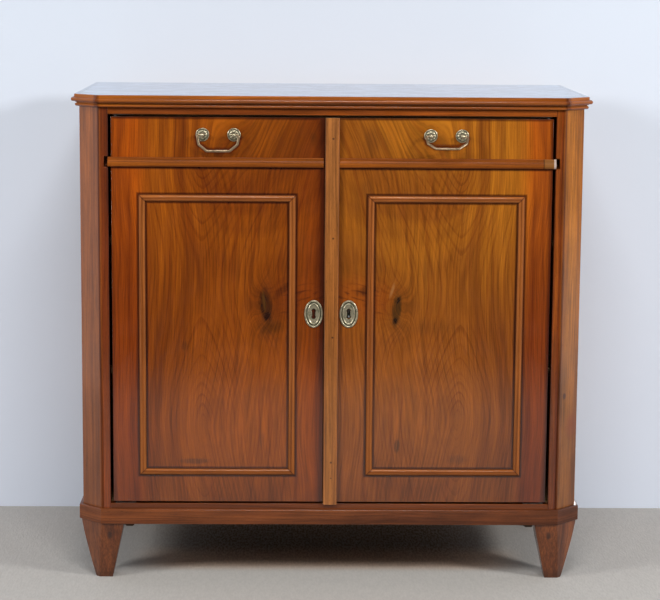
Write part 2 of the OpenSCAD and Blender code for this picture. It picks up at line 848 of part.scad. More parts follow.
// Hollow lock case with the bolt's slot, the keyhole and the drill pin
module lock_case() {
    z_mid = key_z + lock_bolt_up / 2;
    color(iron) placed() {
        difference() {
            lock_blank(0);
            block([meeting_x(1) + lock_wall, lock_y0 + lock_wall, z_mid - lock_h / 2 + lock_wall],
                  [meeting_x(1) + lock_l - lock_wall, door_t - lock_wall,
                   z_mid + lock_h / 2 - lock_wall]);
            lock_bar(meeting_x(1) - cut, meeting_x(1) + lock_wall + cut, slide_play);
            keyhole(lock_y0 - cut, lock_y0 + lock_wall + cut);
        }
        translate([key_x, veneer_t, pin_z]) rotate([-90, 0, 0])
            cylinder(r = drill_pin_r, h = door_t - veneer_t - lock_wall / 2);
    }
}

// Lock bolt with a notch for the key's bit
module lock_bolt() {
    notch = 9;
    color(iron) placed() difference() {
        lock_bar(meeting_x(1), meeting_x(1) + lock_bolt_l, 0);
        block([key_x - notch, lock_bolt_y - lock_bolt_t, lock_bolt_z - lock_bolt_h],
              [key_x - cut * 2, lock_bolt_y + lock_bolt_t, lock_bolt_z - lock_bolt_h / 4]);
    }
}

module veneer(side) {
    color(wood_front) placed() difference() {
        on_side(side) block([meeting_x(side), 0, door_z0], [door_out, veneer_t, door_z1]);
        handle_holes(side);
        if (side > 0) keyhole(-cut, veneer_t + cut);
    }
}

module left_veneer() veneer(-1);
module right_veneer() veneer(1);

// Divider moulding: a rounded band with a lower step along its top
module divider_profile() {
    band = divider_h * 0.68;
    translate([-divider_t * 0.45, 0]) square([divider_t * 0.45, divider_h]);
    intersection() {
        translate([-divider_t, 0]) square([divider_t, band]);
        translate([band - divider_t, band / 2]) circle(band);
    }
}

module divider(side) {
    x0 = side > 0 ? strip_half + seat : strip_half + divider_stop;
    color(wood_front) placed() on_side(side)
        translate([x0, 0, divider_z0]) rotate([90, 0, 90])
            linear_extrude(door_out + divider_end - x0) divider_profile();
}

module left_divider() divider(-1);
module right_divider() divider(1);

// Panel moulding's rounded profile: width upwards, proud towards -Y
module panel_profile() {
    r = (panel_w * panel_w / 4 + panel_t * panel_t) / (2 * panel_t);
    intersection() {
        translate([-panel_t, 0]) square([panel_t, panel_w]);
        translate([r - panel_t, panel_w / 2]) circle(r);
    }
}

// One strip of the panel moulding along +X, its outer edge on z = 0, mitred at both ends
module panel_strip(length)
    intersection() {
        rotate([90, 0, 0]) linear_extrude(panel_t + cut)
            polygon([[0, 0], [length, 0], [length - panel_w, panel_w], [panel_w, panel_w]]);
        rotate([90, 0, 90]) linear_extrude(length) panel_profile();
    }

module panel_moulding(side) {
    x1 = door_out - panel_out;
    z0 = door_z0 + panel_low;
    z1 = divider_z0 - panel_top;
    color(wood_edge) placed() on_side(side) {
        translate([panel_in, 0, z0]) panel_strip(x1 - panel_in);
        translate([panel_in, 0, z1]) mirror([0, 0, 1]) panel_strip(x1 - panel_in);
        translate([x1, 0, z0]) rotate([0, -90, 0]) panel_strip(z1 - z0);
        translate([panel_in, 0, z0]) mirror([1, 0, 0]) rotate([0, -90, 0]) panel_strip(z1 - z0);
    }
}

module left_panel_moulding() panel_moulding(-1);
module right_panel_moulding() panel_moulding(1);

module centre_strip() {
    color(wood_strip) placed()
        translate([0, 0, door_z0 - strip_drop]) linear_extrude(door_z1 - door_z0 + strip_drop) {
            translate([-strip_half, strip_round - strip_t])
                square([strip_w, strip_t - strip_round]);
            translate([strip_round - strip_half, -strip_t])
                square([strip_w - 2 * strip_round, strip_t]);
            for (s = [-1, 1])
                translate([s * (strip_half - strip_round), strip_round - strip_t])
                    circle(strip_round);
        }
}

// Oval with half axes a and b, on the door's face from y = -h to 0
module oval(a, b, h, steps = 48)
    rotate([90, 0, 0]) linear_extrude(h)
        polygon([for (k = [0 : steps - 1]) [a * cos(360 * k / steps), b * sin(360 * k / steps)]]);

module escutcheon(side) {
    color(brass) placed() on_side(side) difference() {
        translate([key_x, 0, key_z]) for (k = [0 : 2])
            oval(plate_a - k * plate_ledge, plate_b - k * plate_ledge, (k + 1) * plate_step);
        keyhole(-plate_step * 4, side > 0 ? cut : 0);
        for (s = [-1, 1]) pin_place(s) translate([0, 0, -plate_step * 4])
            cylinder(r = escutcheon_pin_r + running, h = plate_step * 8);
    }
}

escutcheon_pin_r = 0.9;

module pin_place(s)
    translate([key_x, 0, key_z + s * (plate_b - plate_ledge / 2)]) rotate([90, 0, 0]) children();

module left_escutcheon() escutcheon(-1);
module right_escutcheon() escutcheon(1);

// Domed rosette, turned about its post's hole
module rosette() {
    neck = post_r + running;
    dome_r = rosette_r * 0.62;
    rotate([90, 0, 0]) rotate_extrude()
        polygon(concat([[neck, 0], [rosette_r, 0], [rosette_r, rosette_rim]],
                       [for (k = [0 : 8]) let (a = 90 * k / 8)
                           [neck + (dome_r - neck) * cos(a),
                            rosette_rim + (rosette_t - rosette_rim) * sin(a)]]));
}

module rosettes(side)
    color(brass) placed() on_side(side) for (s = [-1, 1])
        translate([handle_x + s * handle_span / 2, 0, handle_z]) rosette();

module left_rosettes() rosettes(-1);
module right_rosettes() rosettes(1);

// Handle post: a shank through the door with a drilled ball outside, and a nut inside
nut_w = 11;
nut_t = 4;

module handle_post() {
    shank = door_t + nut_t + cut + bail_out;
    difference() {
        translate([0, -bail_out, 0]) rotate([-90, 45, 0]) rotate_extrude() intersection() {
            union() {
                circle(ball_r);
                square([post_r, shank]);
            }
            translate([0, -2 * ball_r]) square([2 * ball_r, shank + 2 * ball_r]);
        }
        translate([-2 * ball_r, -bail_out, 0]) rotate([0, 90, 0])
            cylinder(r = bail_pin_r + running, h = 4 * ball_r);
    }
    difference() {
        block([-nut_w / 2, door_t, -nut_w / 2], [nut_w / 2, door_t + nut_t, nut_w / 2]);
        translate([0, door_t - cut, 0]) rotate([-90, 0, 0])
            cylinder(r = post_r + running, h = nut_t + 2 * cut);
    }
}

module handle_posts(side)
    color(brass) placed() on_side(side) for (s = [-1, 1])
        translate([handle_x + s * handle_span / 2, 0, handle_z]) handle_post();

module left_handle_posts() handle_posts(-1);
module right_handle_posts() handle_posts(1);

// Corners of the bail's rod from the left end pin to the right one, as [x, height]
bail_arm_x = handle_span / 2 + bail_arm;
pin_start = bail_arm_x - 1.4 * bail_bend;
bail_path = [[-pin_start, 0], [-bail_arm_x, 0],
             [shoulder_in - bail_arm_x, shoulder_up - bail_drop], [-grip_half, -bail_drop],
             [grip_half, -bail_drop], [bail_arm_x - shoulder_in, shoulder_up - bail_drop],
             [bail_arm_x, 0], [pin_start, 0]];

function heading(k) = atan2(bail_path[k + 1].y - bail_path[k].y,
                            bail_path[k + 1].x - bail_path[k].x);
function left_of(a) = [-sin(a), cos(a)];
function bend_angle(k) = (heading(k) - heading(k - 1) + 360) % 360;

// Middle of the round bend at corner k
function bend_middle(k) =
    let (h = heading(k - 1), t = bail_bend * tan(bend_angle(k) / 2))
    bail_path[k] - t * [cos(h), sin(h)] + bail_bend * left_of(h);

// Sections of the rod as [x, height, heading]: both ends, and a few round each bend
bail_sections = concat(
    [[bail_path[0].x, bail_path[0].y, heading(0)]],
    [for (k = [1 : 6]) for (j = [0 : 4])
        let (h = heading(k - 1) + bend_angle(k) * j / 4, p = bend_middle(k) - bail_bend * left_of(h))
        [p.x, p.y, h]],
    [[bail_path[7].x, bail_path[7].y, heading(6)]]);

// Bail about its pivot line, hanging straight down: one rod of twelve sides and two end pins
module bail() {
    sides = 12;
    last = len(bail_sections) - 1;
    points = [for (q = bail_sections) for (j = [0 : sides - 1])
                let (a = 360 * j / sides, n = left_of(q[2]))
                [q.x + bail_r * cos(a) * n.x, q.y + bail_r * cos(a) * n.y, bail_r * sin(a)]];
    walls = [for (k = [0 : last - 1]) for (j = [0 : sides - 1])
                let (m = (j + 1) % sides)
                for (face = [[k * sides + j, (k + 1) * sides + j, k * sides + m],
                             [(k + 1) * sides + j, (k + 1) * sides + m, k * sides + m]]) face];
    start = [for (j = [0 : sides - 1]) j];
    end = [for (j = [sides - 1 : -1 : 0]) last * sides + j];
    pin_end = handle_span / 2 - ball_r - seat;
    rotate([90, 0, 0]) polyhedron(points, concat([start, end], walls));
    for (s = [-1, 1])
        translate([min(s * pin_end, s * (pin_start + cut)), 0, 0]) rotate([0, 90, 0])
            cylinder(r = bail_pin_r, h = pin_start + cut - pin_end);
}

module bail_place(side, tilt)
    color(brass) placed() on_side(side)
        translate([handle_x, -bail_out, handle_z]) rotate([-tilt, 0, 0]) bail();

module left_bail() bail_place(-1, 0);
module right_bail() bail_place(1, right_tilt);

// Door plates of the pivots: bored for the pins and screwed into the door's ends
module pivot_plates(side) {
    color(iron) placed() difference() {
        on_side(side) {
            block([plate_x0, pivot_back - plate_w / 2, door_z1 - plate_t],
                  [plate_x1, pivot_back + plate_w / 2, door_z1]);
            block([plate_x0, pivot_back - plate_w / 2, door_z0],
                  [plate_x1, pivot_back + plate_w / 2, door_z0 + plate_t]);
        }
        on_side(side) translate([pivot_x, pivot_back, door_z0 - cut])
            cylinder(r = pivot_r + running, h = door_z1 - door_z0 + 2 * cut);
        at_plate_screws(side, door_z1, 1) screw_hole(screw_l);
        at_plate_screws(side, door_z0, -1) screw_hole(screw_l);
    }
}

module left_pivot_plates() pivot_plates(-1);
module right_pivot_plates() pivot_plates(1);

// Screws of a door's pivot plates, and the pins of its escutcheon
module door_screws(side) {
    color(iron) placed() {
        at_plate_screws(side, door_z1, 1) screw_shape(screw_l);
        at_plate_screws(side, door_z0, -1) screw_shape(screw_l);
        for (s = [-1, 1]) on_side(side) pin_place(s)
            cylinder(r = escutcheon_pin_r, h = plate_step * 1.6);
    }
}

module left_screws() door_screws(-1);
module right_screws() door_screws(1);

front_post_left();
front_post_right();
rear_stile_left();
rear_stile_right();
side_panel_left();
side_panel_right();
frieze_rail();
bottom_rail();
rear_top_rail();
bottom_board();
top_board();
top_edge_front();
top_edge_left();
top_edge_right();
frieze_bead_front();
frieze_bead_left();
frieze_bead_right();
base_board_front();
base_board_left();
base_board_right();
bearers();
foot_front_left();
foot_front_right();
foot_rear_left();
foot_rear_right();
glue_blocks();
back_boards();
shelf_lower();
shelf_upper();
shelf_battens();
pivot_pins();
door_stops();
carcase_fixings();
left_door();
left_veneer();
left_divider();
left_panel_moulding();
left_escutcheon();
left_rosettes();
left_handle_posts();
left_pivot_plates();
left_bolt_covers();
left_keeper();
left_screws();
left_bail();
top_bolt();
bottom_bolt();
right_door();
right_veneer();
right_divider();
right_panel_moulding();
right_escutcheon();
right_rosettes();
right_handle_posts();
right_pivot_plates();
centre_strip();
lock_case();
right_screws();
right_bail();
lock_bolt();
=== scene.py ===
import json
import math

import bmesh
import bpy
import numpy as np
from mathutils import Matrix, Vector

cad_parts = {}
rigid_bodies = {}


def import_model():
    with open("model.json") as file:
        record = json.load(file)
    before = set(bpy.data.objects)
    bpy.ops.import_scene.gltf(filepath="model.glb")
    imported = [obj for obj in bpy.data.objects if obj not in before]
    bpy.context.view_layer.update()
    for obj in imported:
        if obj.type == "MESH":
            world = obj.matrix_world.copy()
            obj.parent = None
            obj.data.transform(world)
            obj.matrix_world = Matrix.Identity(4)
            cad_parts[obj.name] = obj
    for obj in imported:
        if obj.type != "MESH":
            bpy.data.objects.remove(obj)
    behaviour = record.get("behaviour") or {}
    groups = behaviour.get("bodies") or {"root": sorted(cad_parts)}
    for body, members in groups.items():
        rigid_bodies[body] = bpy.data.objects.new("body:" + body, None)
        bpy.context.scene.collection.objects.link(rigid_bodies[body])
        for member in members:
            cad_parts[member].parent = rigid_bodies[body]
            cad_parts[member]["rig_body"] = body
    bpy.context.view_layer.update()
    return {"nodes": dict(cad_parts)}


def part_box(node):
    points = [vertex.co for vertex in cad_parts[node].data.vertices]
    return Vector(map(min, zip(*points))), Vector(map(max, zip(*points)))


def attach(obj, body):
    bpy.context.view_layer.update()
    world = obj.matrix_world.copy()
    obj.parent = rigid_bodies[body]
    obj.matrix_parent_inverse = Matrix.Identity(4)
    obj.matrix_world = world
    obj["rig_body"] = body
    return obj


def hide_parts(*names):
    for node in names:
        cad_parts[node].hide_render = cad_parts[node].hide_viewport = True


# Low cupboard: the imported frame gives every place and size, in metres, front towards -Y.
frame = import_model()
nodes = frame["nodes"]
mm = 0.001
print("frame loaded with", len(nodes), "nodes")


# A node's lowest and highest corner in millimetres
def boxMm(node):
    low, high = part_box(node)
    return np.array(low) / mm, np.array(high) / mm


# Middle of a node's box in millimetres, across and upwards
def middleMm(node):
    low, high = boxMm(node)
    return ((low + high) / 2)[[0, 2]].tolist()


# Plan of the carcase in millimetres: half width, front and back planes, and where the front
# corners are cut off
topPoints = np.array([v.co for v in nodes["top_board"].data.vertices]) / mm
halfWidth = float(topPoints[:, 0].max())
frontY, backY = float(topPoints[:, 1].min()), float(topPoints[:, 1].max())
cantX = float(topPoints[topPoints[:, 1] < frontY + 0.1][:, 0].max())
cantY = frontY + halfWidth - cantX
topZ = float(topPoints[:, 2].max())
turn = math.tan(math.radians(22.5))   # reach of a mitre where the plan turns by 45 degrees
upright = np.array([0.0, 0.0, 1.0])
forward = np.array([0.0, -1.0, 0.0])
print("carcase half width", round(halfWidth, 2), "cant", round(halfWidth - cantX, 2))

# Places that both the finishes and the shapes need, in millimetres
dividerZ = float(boxMm("right_divider")[0][2])
doorTop = float(boxMm("right_door")[1][2])
handleMiddle = middleMm("right_rosettes")
keyMiddle = middleMm("right_escutcheon")
knotX = 142.0        # from the cupboard's middle to the knots in both doors
panelWidth = 16.0    # width of the panel frames' moulding


# Camera and surroundings

cameraPlan = {
    "place": (-0.0801, frontY * mm - 4.4872, 1.3279),
    "yaw": 0.9874,     # degrees, turned towards +X
    "pitch": 8.7953,   # degrees down
    "roll": 0.435,     # degrees, right side up
    "focal": 113.41,
    "sensor": 36.0,
}


# The camera's axes: forward is turned by the yaw and tipped by the pitch, and the pair
# right and up is then rolled about it
def makeCamera(plan):
    yaw, pitch, roll = (math.radians(plan[k]) for k in ("yaw", "pitch", "roll"))
    flat = Vector((math.sin(yaw), math.cos(yaw), 0))
    right = Vector((math.cos(yaw), -math.sin(yaw), 0))
    forward = flat * math.cos(pitch) - Vector((0, 0, 1)) * math.sin(pitch)
    up = flat * math.sin(pitch) + Vector((0, 0, 1)) * math.cos(pitch)
    across = right * math.cos(roll) + up * math.sin(roll)
    rise = up * math.cos(roll) - right * math.sin(roll)
    data = bpy.data.cameras.new("view")
    data.sensor_fit = "HORIZONTAL"
    data.sensor_width = plan["sensor"]
    data.lens = plan["focal"]
    camera = bpy.data.objects.new("view", data)
    bpy.context.scene.collection.objects.link(camera)
    facing = Matrix((across, rise, -forward)).transposed().to_4x4()
    camera.matrix_world = Matrix.Translation(plan["place"]) @ facing
    bpy.context.scene.camera = camera


makeCamera(cameraPlan)
bpy.context.scene.view_settings.view_transform = "Standard"


# Wiring adds nodes to one tree: every call adds a node and gives back its output socket
class Wiring:
    def __init__(self, tree):
        self.tree = tree

    def node(self, kind, **settings):
        made = self.tree.nodes.new(kind)
        for key, value in settings.items():
            setattr(made, key, value)
        return made

    def put(self, socket, value):
        if isinstance(value, bpy.types.NodeSocket):
            self.tree.links.new(value, socket)
        elif socket.type == "RGBA" and isinstance(value, float):
            socket.default_value = (value, value, value, 1.0)
        else:
            socket.default_value = value

    def calc(self, operation, *values, clamp=False):
        made = self.node("ShaderNodeMath", operation=operation, use_clamp=clamp)
        for socket, value in zip(made.inputs, values):
            self.put(socket, value)
        return made.outputs[0]

    def add(self, *values):
        total = values[0]
        for value in values[1:]:
            total = self.calc("ADD", total, value)
        return total

    def times(self, *values):
        total = values[0]
        for value in values[1:]:
            total = self.calc("MULTIPLY", total, value)
        return total

    def minus(self, a, b):
        return self.calc("SUBTRACT", a, b)

    def over(self, a, b):
        return self.calc("DIVIDE", a, b)

    def power(self, a, b):
        return self.calc("POWER", a, b)

    def size(self, a):
        return self.calc("ABSOLUTE", a)

    def least(self, a, b):
        return self.calc("MINIMUM", a, b)

    def most(self, a, b):
        return self.calc("MAXIMUM", a, b)

    def inverse(self, a):
        return self.calc("SUBTRACT", 1.0, a)

    # Length of the arrow with the sides a and b
    def length(self, a, b):
        return self.calc("SQRT", self.add(self.times(a, a), self.times(b, b)))

    def vector(self, operation, first, second):
        made = self.node("ShaderNodeVectorMath", operation=operation)
        self.put(made.inputs[0], first)
        self.put(made.inputs[1], second)
        return made.outputs[0]

    def scaled(self, vector, factors):
        return self.vector("MULTIPLY", vector, factors)

    def moved(self, vector, shift):
        return self.vector("ADD", vector, shift)

    def split(self, vector):
        made = self.node("ShaderNodeSeparateXYZ")
        self.put(made.inputs[0], vector)
        return made.outputs

    def joined(self, x, y, z):
        made = self.node("ShaderNodeCombineXYZ")
        for socket, value in zip(made.inputs, (x, y, z)):
            self.put(socket, value)
        return made.outputs[0]

    def noise(self, vector, scale=1.0, detail=3.0, roughness=0.5, distortion=0.0):
        made = self.node("ShaderNodeTexNoise")
        self.put(made.inputs["Vector"], vector)
        self.put(made.inputs["Scale"], scale)
        self.put(made.inputs["Detail"], detail)
        self.put(made.inputs["Roughness"], roughness)
        self.put(made.inputs["Distortion"], distortion)
        return made.outputs[0]

    def step(self, value, low, high, start=0.0, end=1.0):
        made = self.node("ShaderNodeMapRange", interpolation_type="SMOOTHSTEP")
        for socket, given in zip(made.inputs, (value, low, high, start, end)):
            self.put(socket, given)
        return made.outputs[0]

    def mix(self, share, first, second, blend="MIX"):
        made = self.node("ShaderNodeMix", data_type="RGBA", blend_type=blend)
        self.put(made.inputs[0], share)
        self.put(made.inputs[6], first)
        self.put(made.inputs[7], second)
        return made.outputs[2]

    def multiplied(self, shade, by):
        return self.mix(1.0, shade, by, blend="MULTIPLY")

    # One shader or another, by a share
    def either(self, share, first, second):
        made = self.node("ShaderNodeMixShader")
        for socket, value in zip(made.inputs, (share, first, second)):
            self.put(socket, value)
        return made.outputs[0]

    def bump(self, height, strength, distance, normal=None):
        made = self.node("ShaderNodeBump")
        self.put(made.inputs["Strength"], strength)
        self.put(made.inputs["Distance"], distance)
        self.put(made.inputs["Height"], height)
        if normal is not None:
            self.put(made.inputs["Normal"], normal)
        return made.outputs["Normal"]

    def group(self, tree, **values):
        made = self.node("ShaderNodeGroup", node_tree=tree)
        for name, value in values.items():
            self.put(made.inputs[name], value)
        return made.outputs


def colour(r, g, b):
    return (r, g, b, 1.0)


# A new node group with the named inputs, each with its type and first value, and outputs
def startGroup(name, inputs, outputs):
    tree = bpy.data.node_groups.new(name, "ShaderNodeTree")
    for title, (kind, value) in inputs.items():
        socket = tree.interface.new_socket(title, in_out="INPUT", socket_type=kind)
        socket.default_value = value
    for title, kind in outputs.items():
        tree.interface.new_socket(title, in_out="OUTPUT", socket_type=kind)
    wiring = Wiring(tree)
    entry = wiring.node("NodeGroupInput")
    leave = wiring.node("NodeGroupOutput")
    return tree, wiring, entry.outputs, leave.inputs


number = "NodeSocketFloat"
arrow = "NodeSocketVector"
tint = "NodeSocketColor"


# Straight grain along Z, in millimetres: broad bands, fibres and short dark pores, each a
# noise drawn out along the grain, with a slow sideways drift
def makeStraightGrain():
    tree, w, given, out = startGroup(
        "straightGrain",
        {"Place": (arrow, (0, 0, 0)), "Seed": (number, 0.0), "Band": (number, 28.0)},
        {"Band": number, "Fibre": number, "Pore": number},
    )
    place = w.moved(given["Place"], w.joined(given["Seed"], given["Seed"], given["Seed"]))
    x, y, z = w.split(place)
    drift = w.noise(w.scaled(place, (1 / 90, 1 / 90, 1 / 420)), detail=1.0)
    sway = w.times(w.minus(drift, 0.5), 26.0)
    across = w.add(x, sway)
    bandPlace = w.joined(w.over(across, given["Band"]), w.over(y, given["Band"]),
                         w.times(z, 1 / 900))
    band = w.noise(bandPlace, detail=4.0, roughness=0.6)
    fibrePlace = w.joined(w.times(across, 1 / 2.6), w.times(y, 1 / 2.6), w.times(z, 1 / 170))
    fibre = w.noise(fibrePlace, detail=3.0, roughness=0.65)
    porePlace = w.joined(w.times(across, 1 / 0.8), w.times(y, 1 / 0.8), w.times(z, 1 / 9))
    pore = w.step(w.noise(porePlace, detail=1.0), 0.60, 0.74)
    w.put(out["Band"], w.step(band, 0.30, 0.70))
    w.put(out["Fibre"], w.step(fibre, 0.28, 0.72))
    w.put(out["Pore"], pore)
    return tree


straightGrain = makeStraightGrain()


# Polish that has been handled: slow undulation for the normal, and smears that change gloss
def makeOldPolish():
    tree, w, given, out = startGroup(
        "oldPolish",
        {"Place": (arrow, (0, 0, 0)), "Fibre": (number, 0.5), "Pore": (number, 0.0)},
        {"Smear": number, "Height": number},
    )
    slow = w.noise(w.scaled(given["Place"], (1 / 120, 1 / 120, 1 / 200)), detail=2.0)
    smear = w.noise(w.scaled(given["Place"], (1 / 35, 1 / 35, 1 / 60)), detail=5.0,
                    roughness=0.62, distortion=0.6)
    w.put(out["Smear"], w.step(smear, 0.38, 0.68))
    height = w.add(slow, w.times(given["Fibre"], 0.05), w.times(given["Pore"], -0.12))
    w.put(out["Height"], height)
    return tree


oldPolish = makeOldPolish()


# Colour of a plain piece of wood: dark to pale by the bands, each fibre and each broad cloud
# a little lighter or darker, and the pores darkest
def makeWoodTone():
    tree, w, given, out = startGroup(
        "woodTone",
        {"Place": (arrow, (0, 0, 0)), "Seed": (number, 0.0), "Band": (number, 28.0),
         "Pale": (tint, colour(0.4, 0.2, 0.1)), "Dark": (tint, colour(0.1, 0.04, 0.02)),
         "Contrast": (number, 0.35)},
        {"Color": tint, "Rough": number, "Height": number},
    )
    grain = w.group(straightGrain, Place=given["Place"], Seed=given["Seed"],
                    Band=given["Band"])
    polish = w.group(oldPolish, Place=given["Place"], Fibre=grain["Fibre"],
                     Pore=grain["Pore"])
    shade = w.mix(grain["Band"], given["Dark"], given["Pale"])
    seeded = w.moved(given["Place"], w.joined(given["Seed"], 0.0, given["Seed"]))
    cloud = w.noise(w.scaled(seeded, (1 / 40, 1 / 40, 1 / 110)), detail=3.0)
    lift = w.add(1.0, w.times(w.minus(grain["Fibre"], 0.5), given["Contrast"]),
                 w.times(w.minus(cloud, 0.5), given["Contrast"], 1.2))
    shade = w.multiplied(shade, lift)
    pored = w.mix(w.times(grain["Pore"], 0.55), shade, w.multiplied(shade, 0.35))
    w.put(out["Color"], pored)
    w.put(out["Rough"], w.add(w.times(polish["Smear"], 0.16), w.times(grain["Pore"], 0.15)))
    w.put(out["Height"], polish["Height"])
    return tree


woodTone = makeWoodTone()


# 1 inside an ellipse with a ragged edge, 0 outside it
def patch(w, u, z, ragged, cu, cz, halfU, halfZ, soft=0.35, lean=0.0):
    dz = w.minus(z, cz)
    du = w.over(w.minus(w.minus(u, cu), w.times(dz, lean)), halfU)
    reach = w.length(du, w.over(dz, halfZ))
    return w.step(w.add(reach, w.times(ragged, 0.9)), 1.0 - soft, 1.0 + soft, 1.0, 0.0)


# Distance from the stretch between points a and b: the place less the nearest point on it,
# a + t * (b - a), with t held between 0 and 1
def fromLine(w, x, z, a, b):
    run, rise = b[0] - a[0], b[1] - a[1]
    dx, dz = w.minus(x, a[0]), w.minus(z, a[1])
    square = run * run + rise * rise
    t = w.calc("ADD", w.times(dx, run / square), w.times(dz, rise / square), clamp=True)
    return w.length(w.minus(dx, w.times(t, run)), w.minus(dz, w.times(t, rise)))


# Soft seam along the line where a value equals edge, fading out at the given width
def seam(w, v, edge, width):
    return w.step(w.size(w.minus(v, edge)), width * 0.3, width, 1.0, 0.0)


# A colour darkened towards a tint by a share
def dim(w, share, shade, tinted):
    return w.mix(share, shade, w.multiplied(shade, colour(*tinted)))


# 1 on the front part of a piece, fading out backwards over the given stretch
def atFront(w, y, start=-190.0, end=-150.0):
    return w.step(y, start, end, 1.0, 0.0)


# Ragged noise about 0 that frays the edges of a patch
def fray(w, x, y, z, wide, high):
    place = w.joined(w.over(x, wide), w.over(y, wide), w.over(z, high))
    return w.minus(w.noise(place, detail=3.0), 0.5)


# A material with its shader and output, ready to be wired
def startMaterial(name):
    material = bpy.data.materials.new(name)
    material.use_nodes = True
    tree = material.node_tree
    tree.nodes.clear()
    w = Wiring(tree)
    shader = w.node("ShaderNodeBsdfPrincipled")
    leave = w.node("ShaderNodeOutputMaterial")
    tree.links.new(shader.outputs[0], leave.inputs[0])
    return material, w, shader.inputs


# Object coordinates in millimetres, turned so that the grain's direction comes last
def placeAlong(w, along):
    place = w.scaled(w.node("ShaderNodeTexCoord").outputs["Object"], (1000, 1000, 1000))
    if along == "z":
        return place
    x, y, z = w.split(place)
    return w.joined(z, y, x) if along == "x" else w.joined(x, z, y)


# The piece's own coordinates in millimetres: around the profile first, along it last
def placeOnRun(w):
    around = w.scaled(w.node("ShaderNodeUVMap", uv_map="run").outputs[0], (1000, 1000, 1000))
    u, v, _ = w.split(around)
    return w.joined(v, 0.0, u)


# Polished or bare wood with straight grain; worn lightens the arrises, partly as wear and partly
# as a painted highlight
def makeWood(name, plan, worn=0.0):
    material, w, shader = startMaterial(name)
    place = placeOnRun(w) if plan["along"] == "run" else placeAlong(w, plan["along"])
    pale, dark = np.array(plan["pale"]), np.array(plan["dark"])
    lighter = pale + (np.array(plan.get("rub", pale * 1.5)) - pale) * worn
    tone = w.group(woodTone, Place=place, Seed=plan["seed"], Band=plan["band"],
                   Pale=colour(*lighter), Dark=colour(*(dark + (lighter - dark) * worn)),
                   Contrast=plan.get("contrast", 0.35))
    shade = tone["Color"]
    if "after" in plan:
        shade = plan["after"](w, shade, *w.split(placeAlong(w, "z"))[:3])
    w.put(shader["Base Color"], shade)
    w.put(shader["Roughness"], w.add(tone["Rough"], plan["rough"]))
    w.put(shader["Normal"], w.bump(tone["Height"], plan.get("relief", 0.35), 0.0012))
    shader["Coat Weight"].default_value = plan["coat"]
    shader["Coat Roughness"].default_value = plan.get("coatRough", 0.16)
    if "gloss" in plan:
        weight, blur = plan["gloss"](w, *w.split(placeAlong(w, "z"))[:3])
        w.put(shader["Coat Weight"], weight)
        w.put(shader["Coat Roughness"], blur)
    shader["Coat IOR"].default_value = plan.get("coatIndex", 1.55)
    shader["Specular IOR Level"].default_value = 0.12 if plan["coat"] else 0.35
    return material


# What time has added to single pieces: each takes the wiring, the colour and the place in
# millimetres, and gives the colour back

stripWear = {
    # place across and upwards, and radius, of each nail hole
    "holes": ((1.8, 986.0, 2.6), (3.0, 769.5, 2.4), (3.0, 551.5, 2.4), (1.8, 271.5, 2.6),
              (1.8, 236.0, 1.8)),
    "handled": 600.0,    # height of the stretch that hands have darkened
}


# Nail holes down the centre strip, a dark line along both its edges, and a darker stretch
# around the keyholes
def stripMarks(w, shade, x, y, z):
    holes = 0.0
    for cx, cz, size in stripWear["holes"]:
        reach = w.length(w.minus(x, cx), w.minus(z, cz))
        holes = w.most(holes, w.step(reach, size * 0.5, size * 1.3, 1.0, 0.0))
    shade = w.mix(w.times(holes, 0.85), shade, colour(0.05, 0.018, 0.008))
    rim = w.step(w.size(x), 13.2, 15.4)
    shade = dim(w, w.times(rim, 0.55), shade, (0.45, 0.32, 0.28))
    handled = w.step(w.size(w.minus(z, stripWear["handled"])), 60.0, 330.0, 1.0, 0.0)
    return dim(w, handled, shade, (0.80, 0.76, 0.66))


postWear = {"inner": 484.5, "arris": 502.6, "dent": (517.0, 418.0), "stain": (537.0, 350.0)}


# Old dirt on a front post: beside the door, along the arris with the cant, which leans in
# further down, and just inside that arris. The right post has a dark band there too, and a
# dent and a red stain on its cant. Posts darken downwards, the right one more
def postMarks(w, shade, x, y, z):
    u = w.size(x)
    onFront = atFront(w, y)
    onRight = w.times(w.step(x, -1.0, 1.0), onFront)
    strip = w.times(w.step(u, 499.0, 502.0, 1.0, 0.0), onFront)
    shade = dim(w, w.times(strip, 0.7), shade, (0.85, 0.50, 0.40))
    high = w.step(z, 720.0, 930.0)
    shade = dim(w, w.times(strip, high, 0.6), shade, (0.62, 0.58, 0.60))
    band = w.times(w.step(u, 492.0, 499.0), w.step(u, 501.5, 504.0, 1.0, 0.0), onRight)
    shade = dim(w, w.times(band, 0.8), shade, (0.52, 0.36, 0.40))
    arris = seam(w, w.minus(u, w.step(z, 330.0, 560.0, 0.0, 2.4)), postWear["arris"], 4.2)
    shade = dim(w, w.times(arris, onFront, 0.85), shade, (0.36, 0.25, 0.30))
    inner = w.times(w.step(u, postWear["inner"], postWear["inner"] + 4.0, 1.0, 0.0), onFront)
    shade = dim(w, w.times(inner, 0.8), shade, (0.32, 0.20, 0.18))
    ragged = fray(w, x, y, z, 9.0, 14.0)
    dent = patch(w, x, z, ragged, *postWear["dent"], 4.0, 7.0, soft=0.45)
    shade = w.mix(w.times(dent, 0.8, onRight), shade, colour(0.05, 0.014, 0.006))
    stain = patch(w, x, z, ragged, *postWear["stain"], 13.0, 26.0, soft=0.7)
    shade = w.mix(w.times(stain, 0.6, onRight), shade, colour(0.25, 0.050, 0.010))
    shade = dim(w, w.times(onRight, w.step(z, 200.0, 800.0, 1.0, 0.0)), shade, (0.74, 0.70, 0.92))
    return dim(w, w.step(z, 250.0, 800.0, 0.55, 0.0), shade, (0.72, 0.72, 0.85))


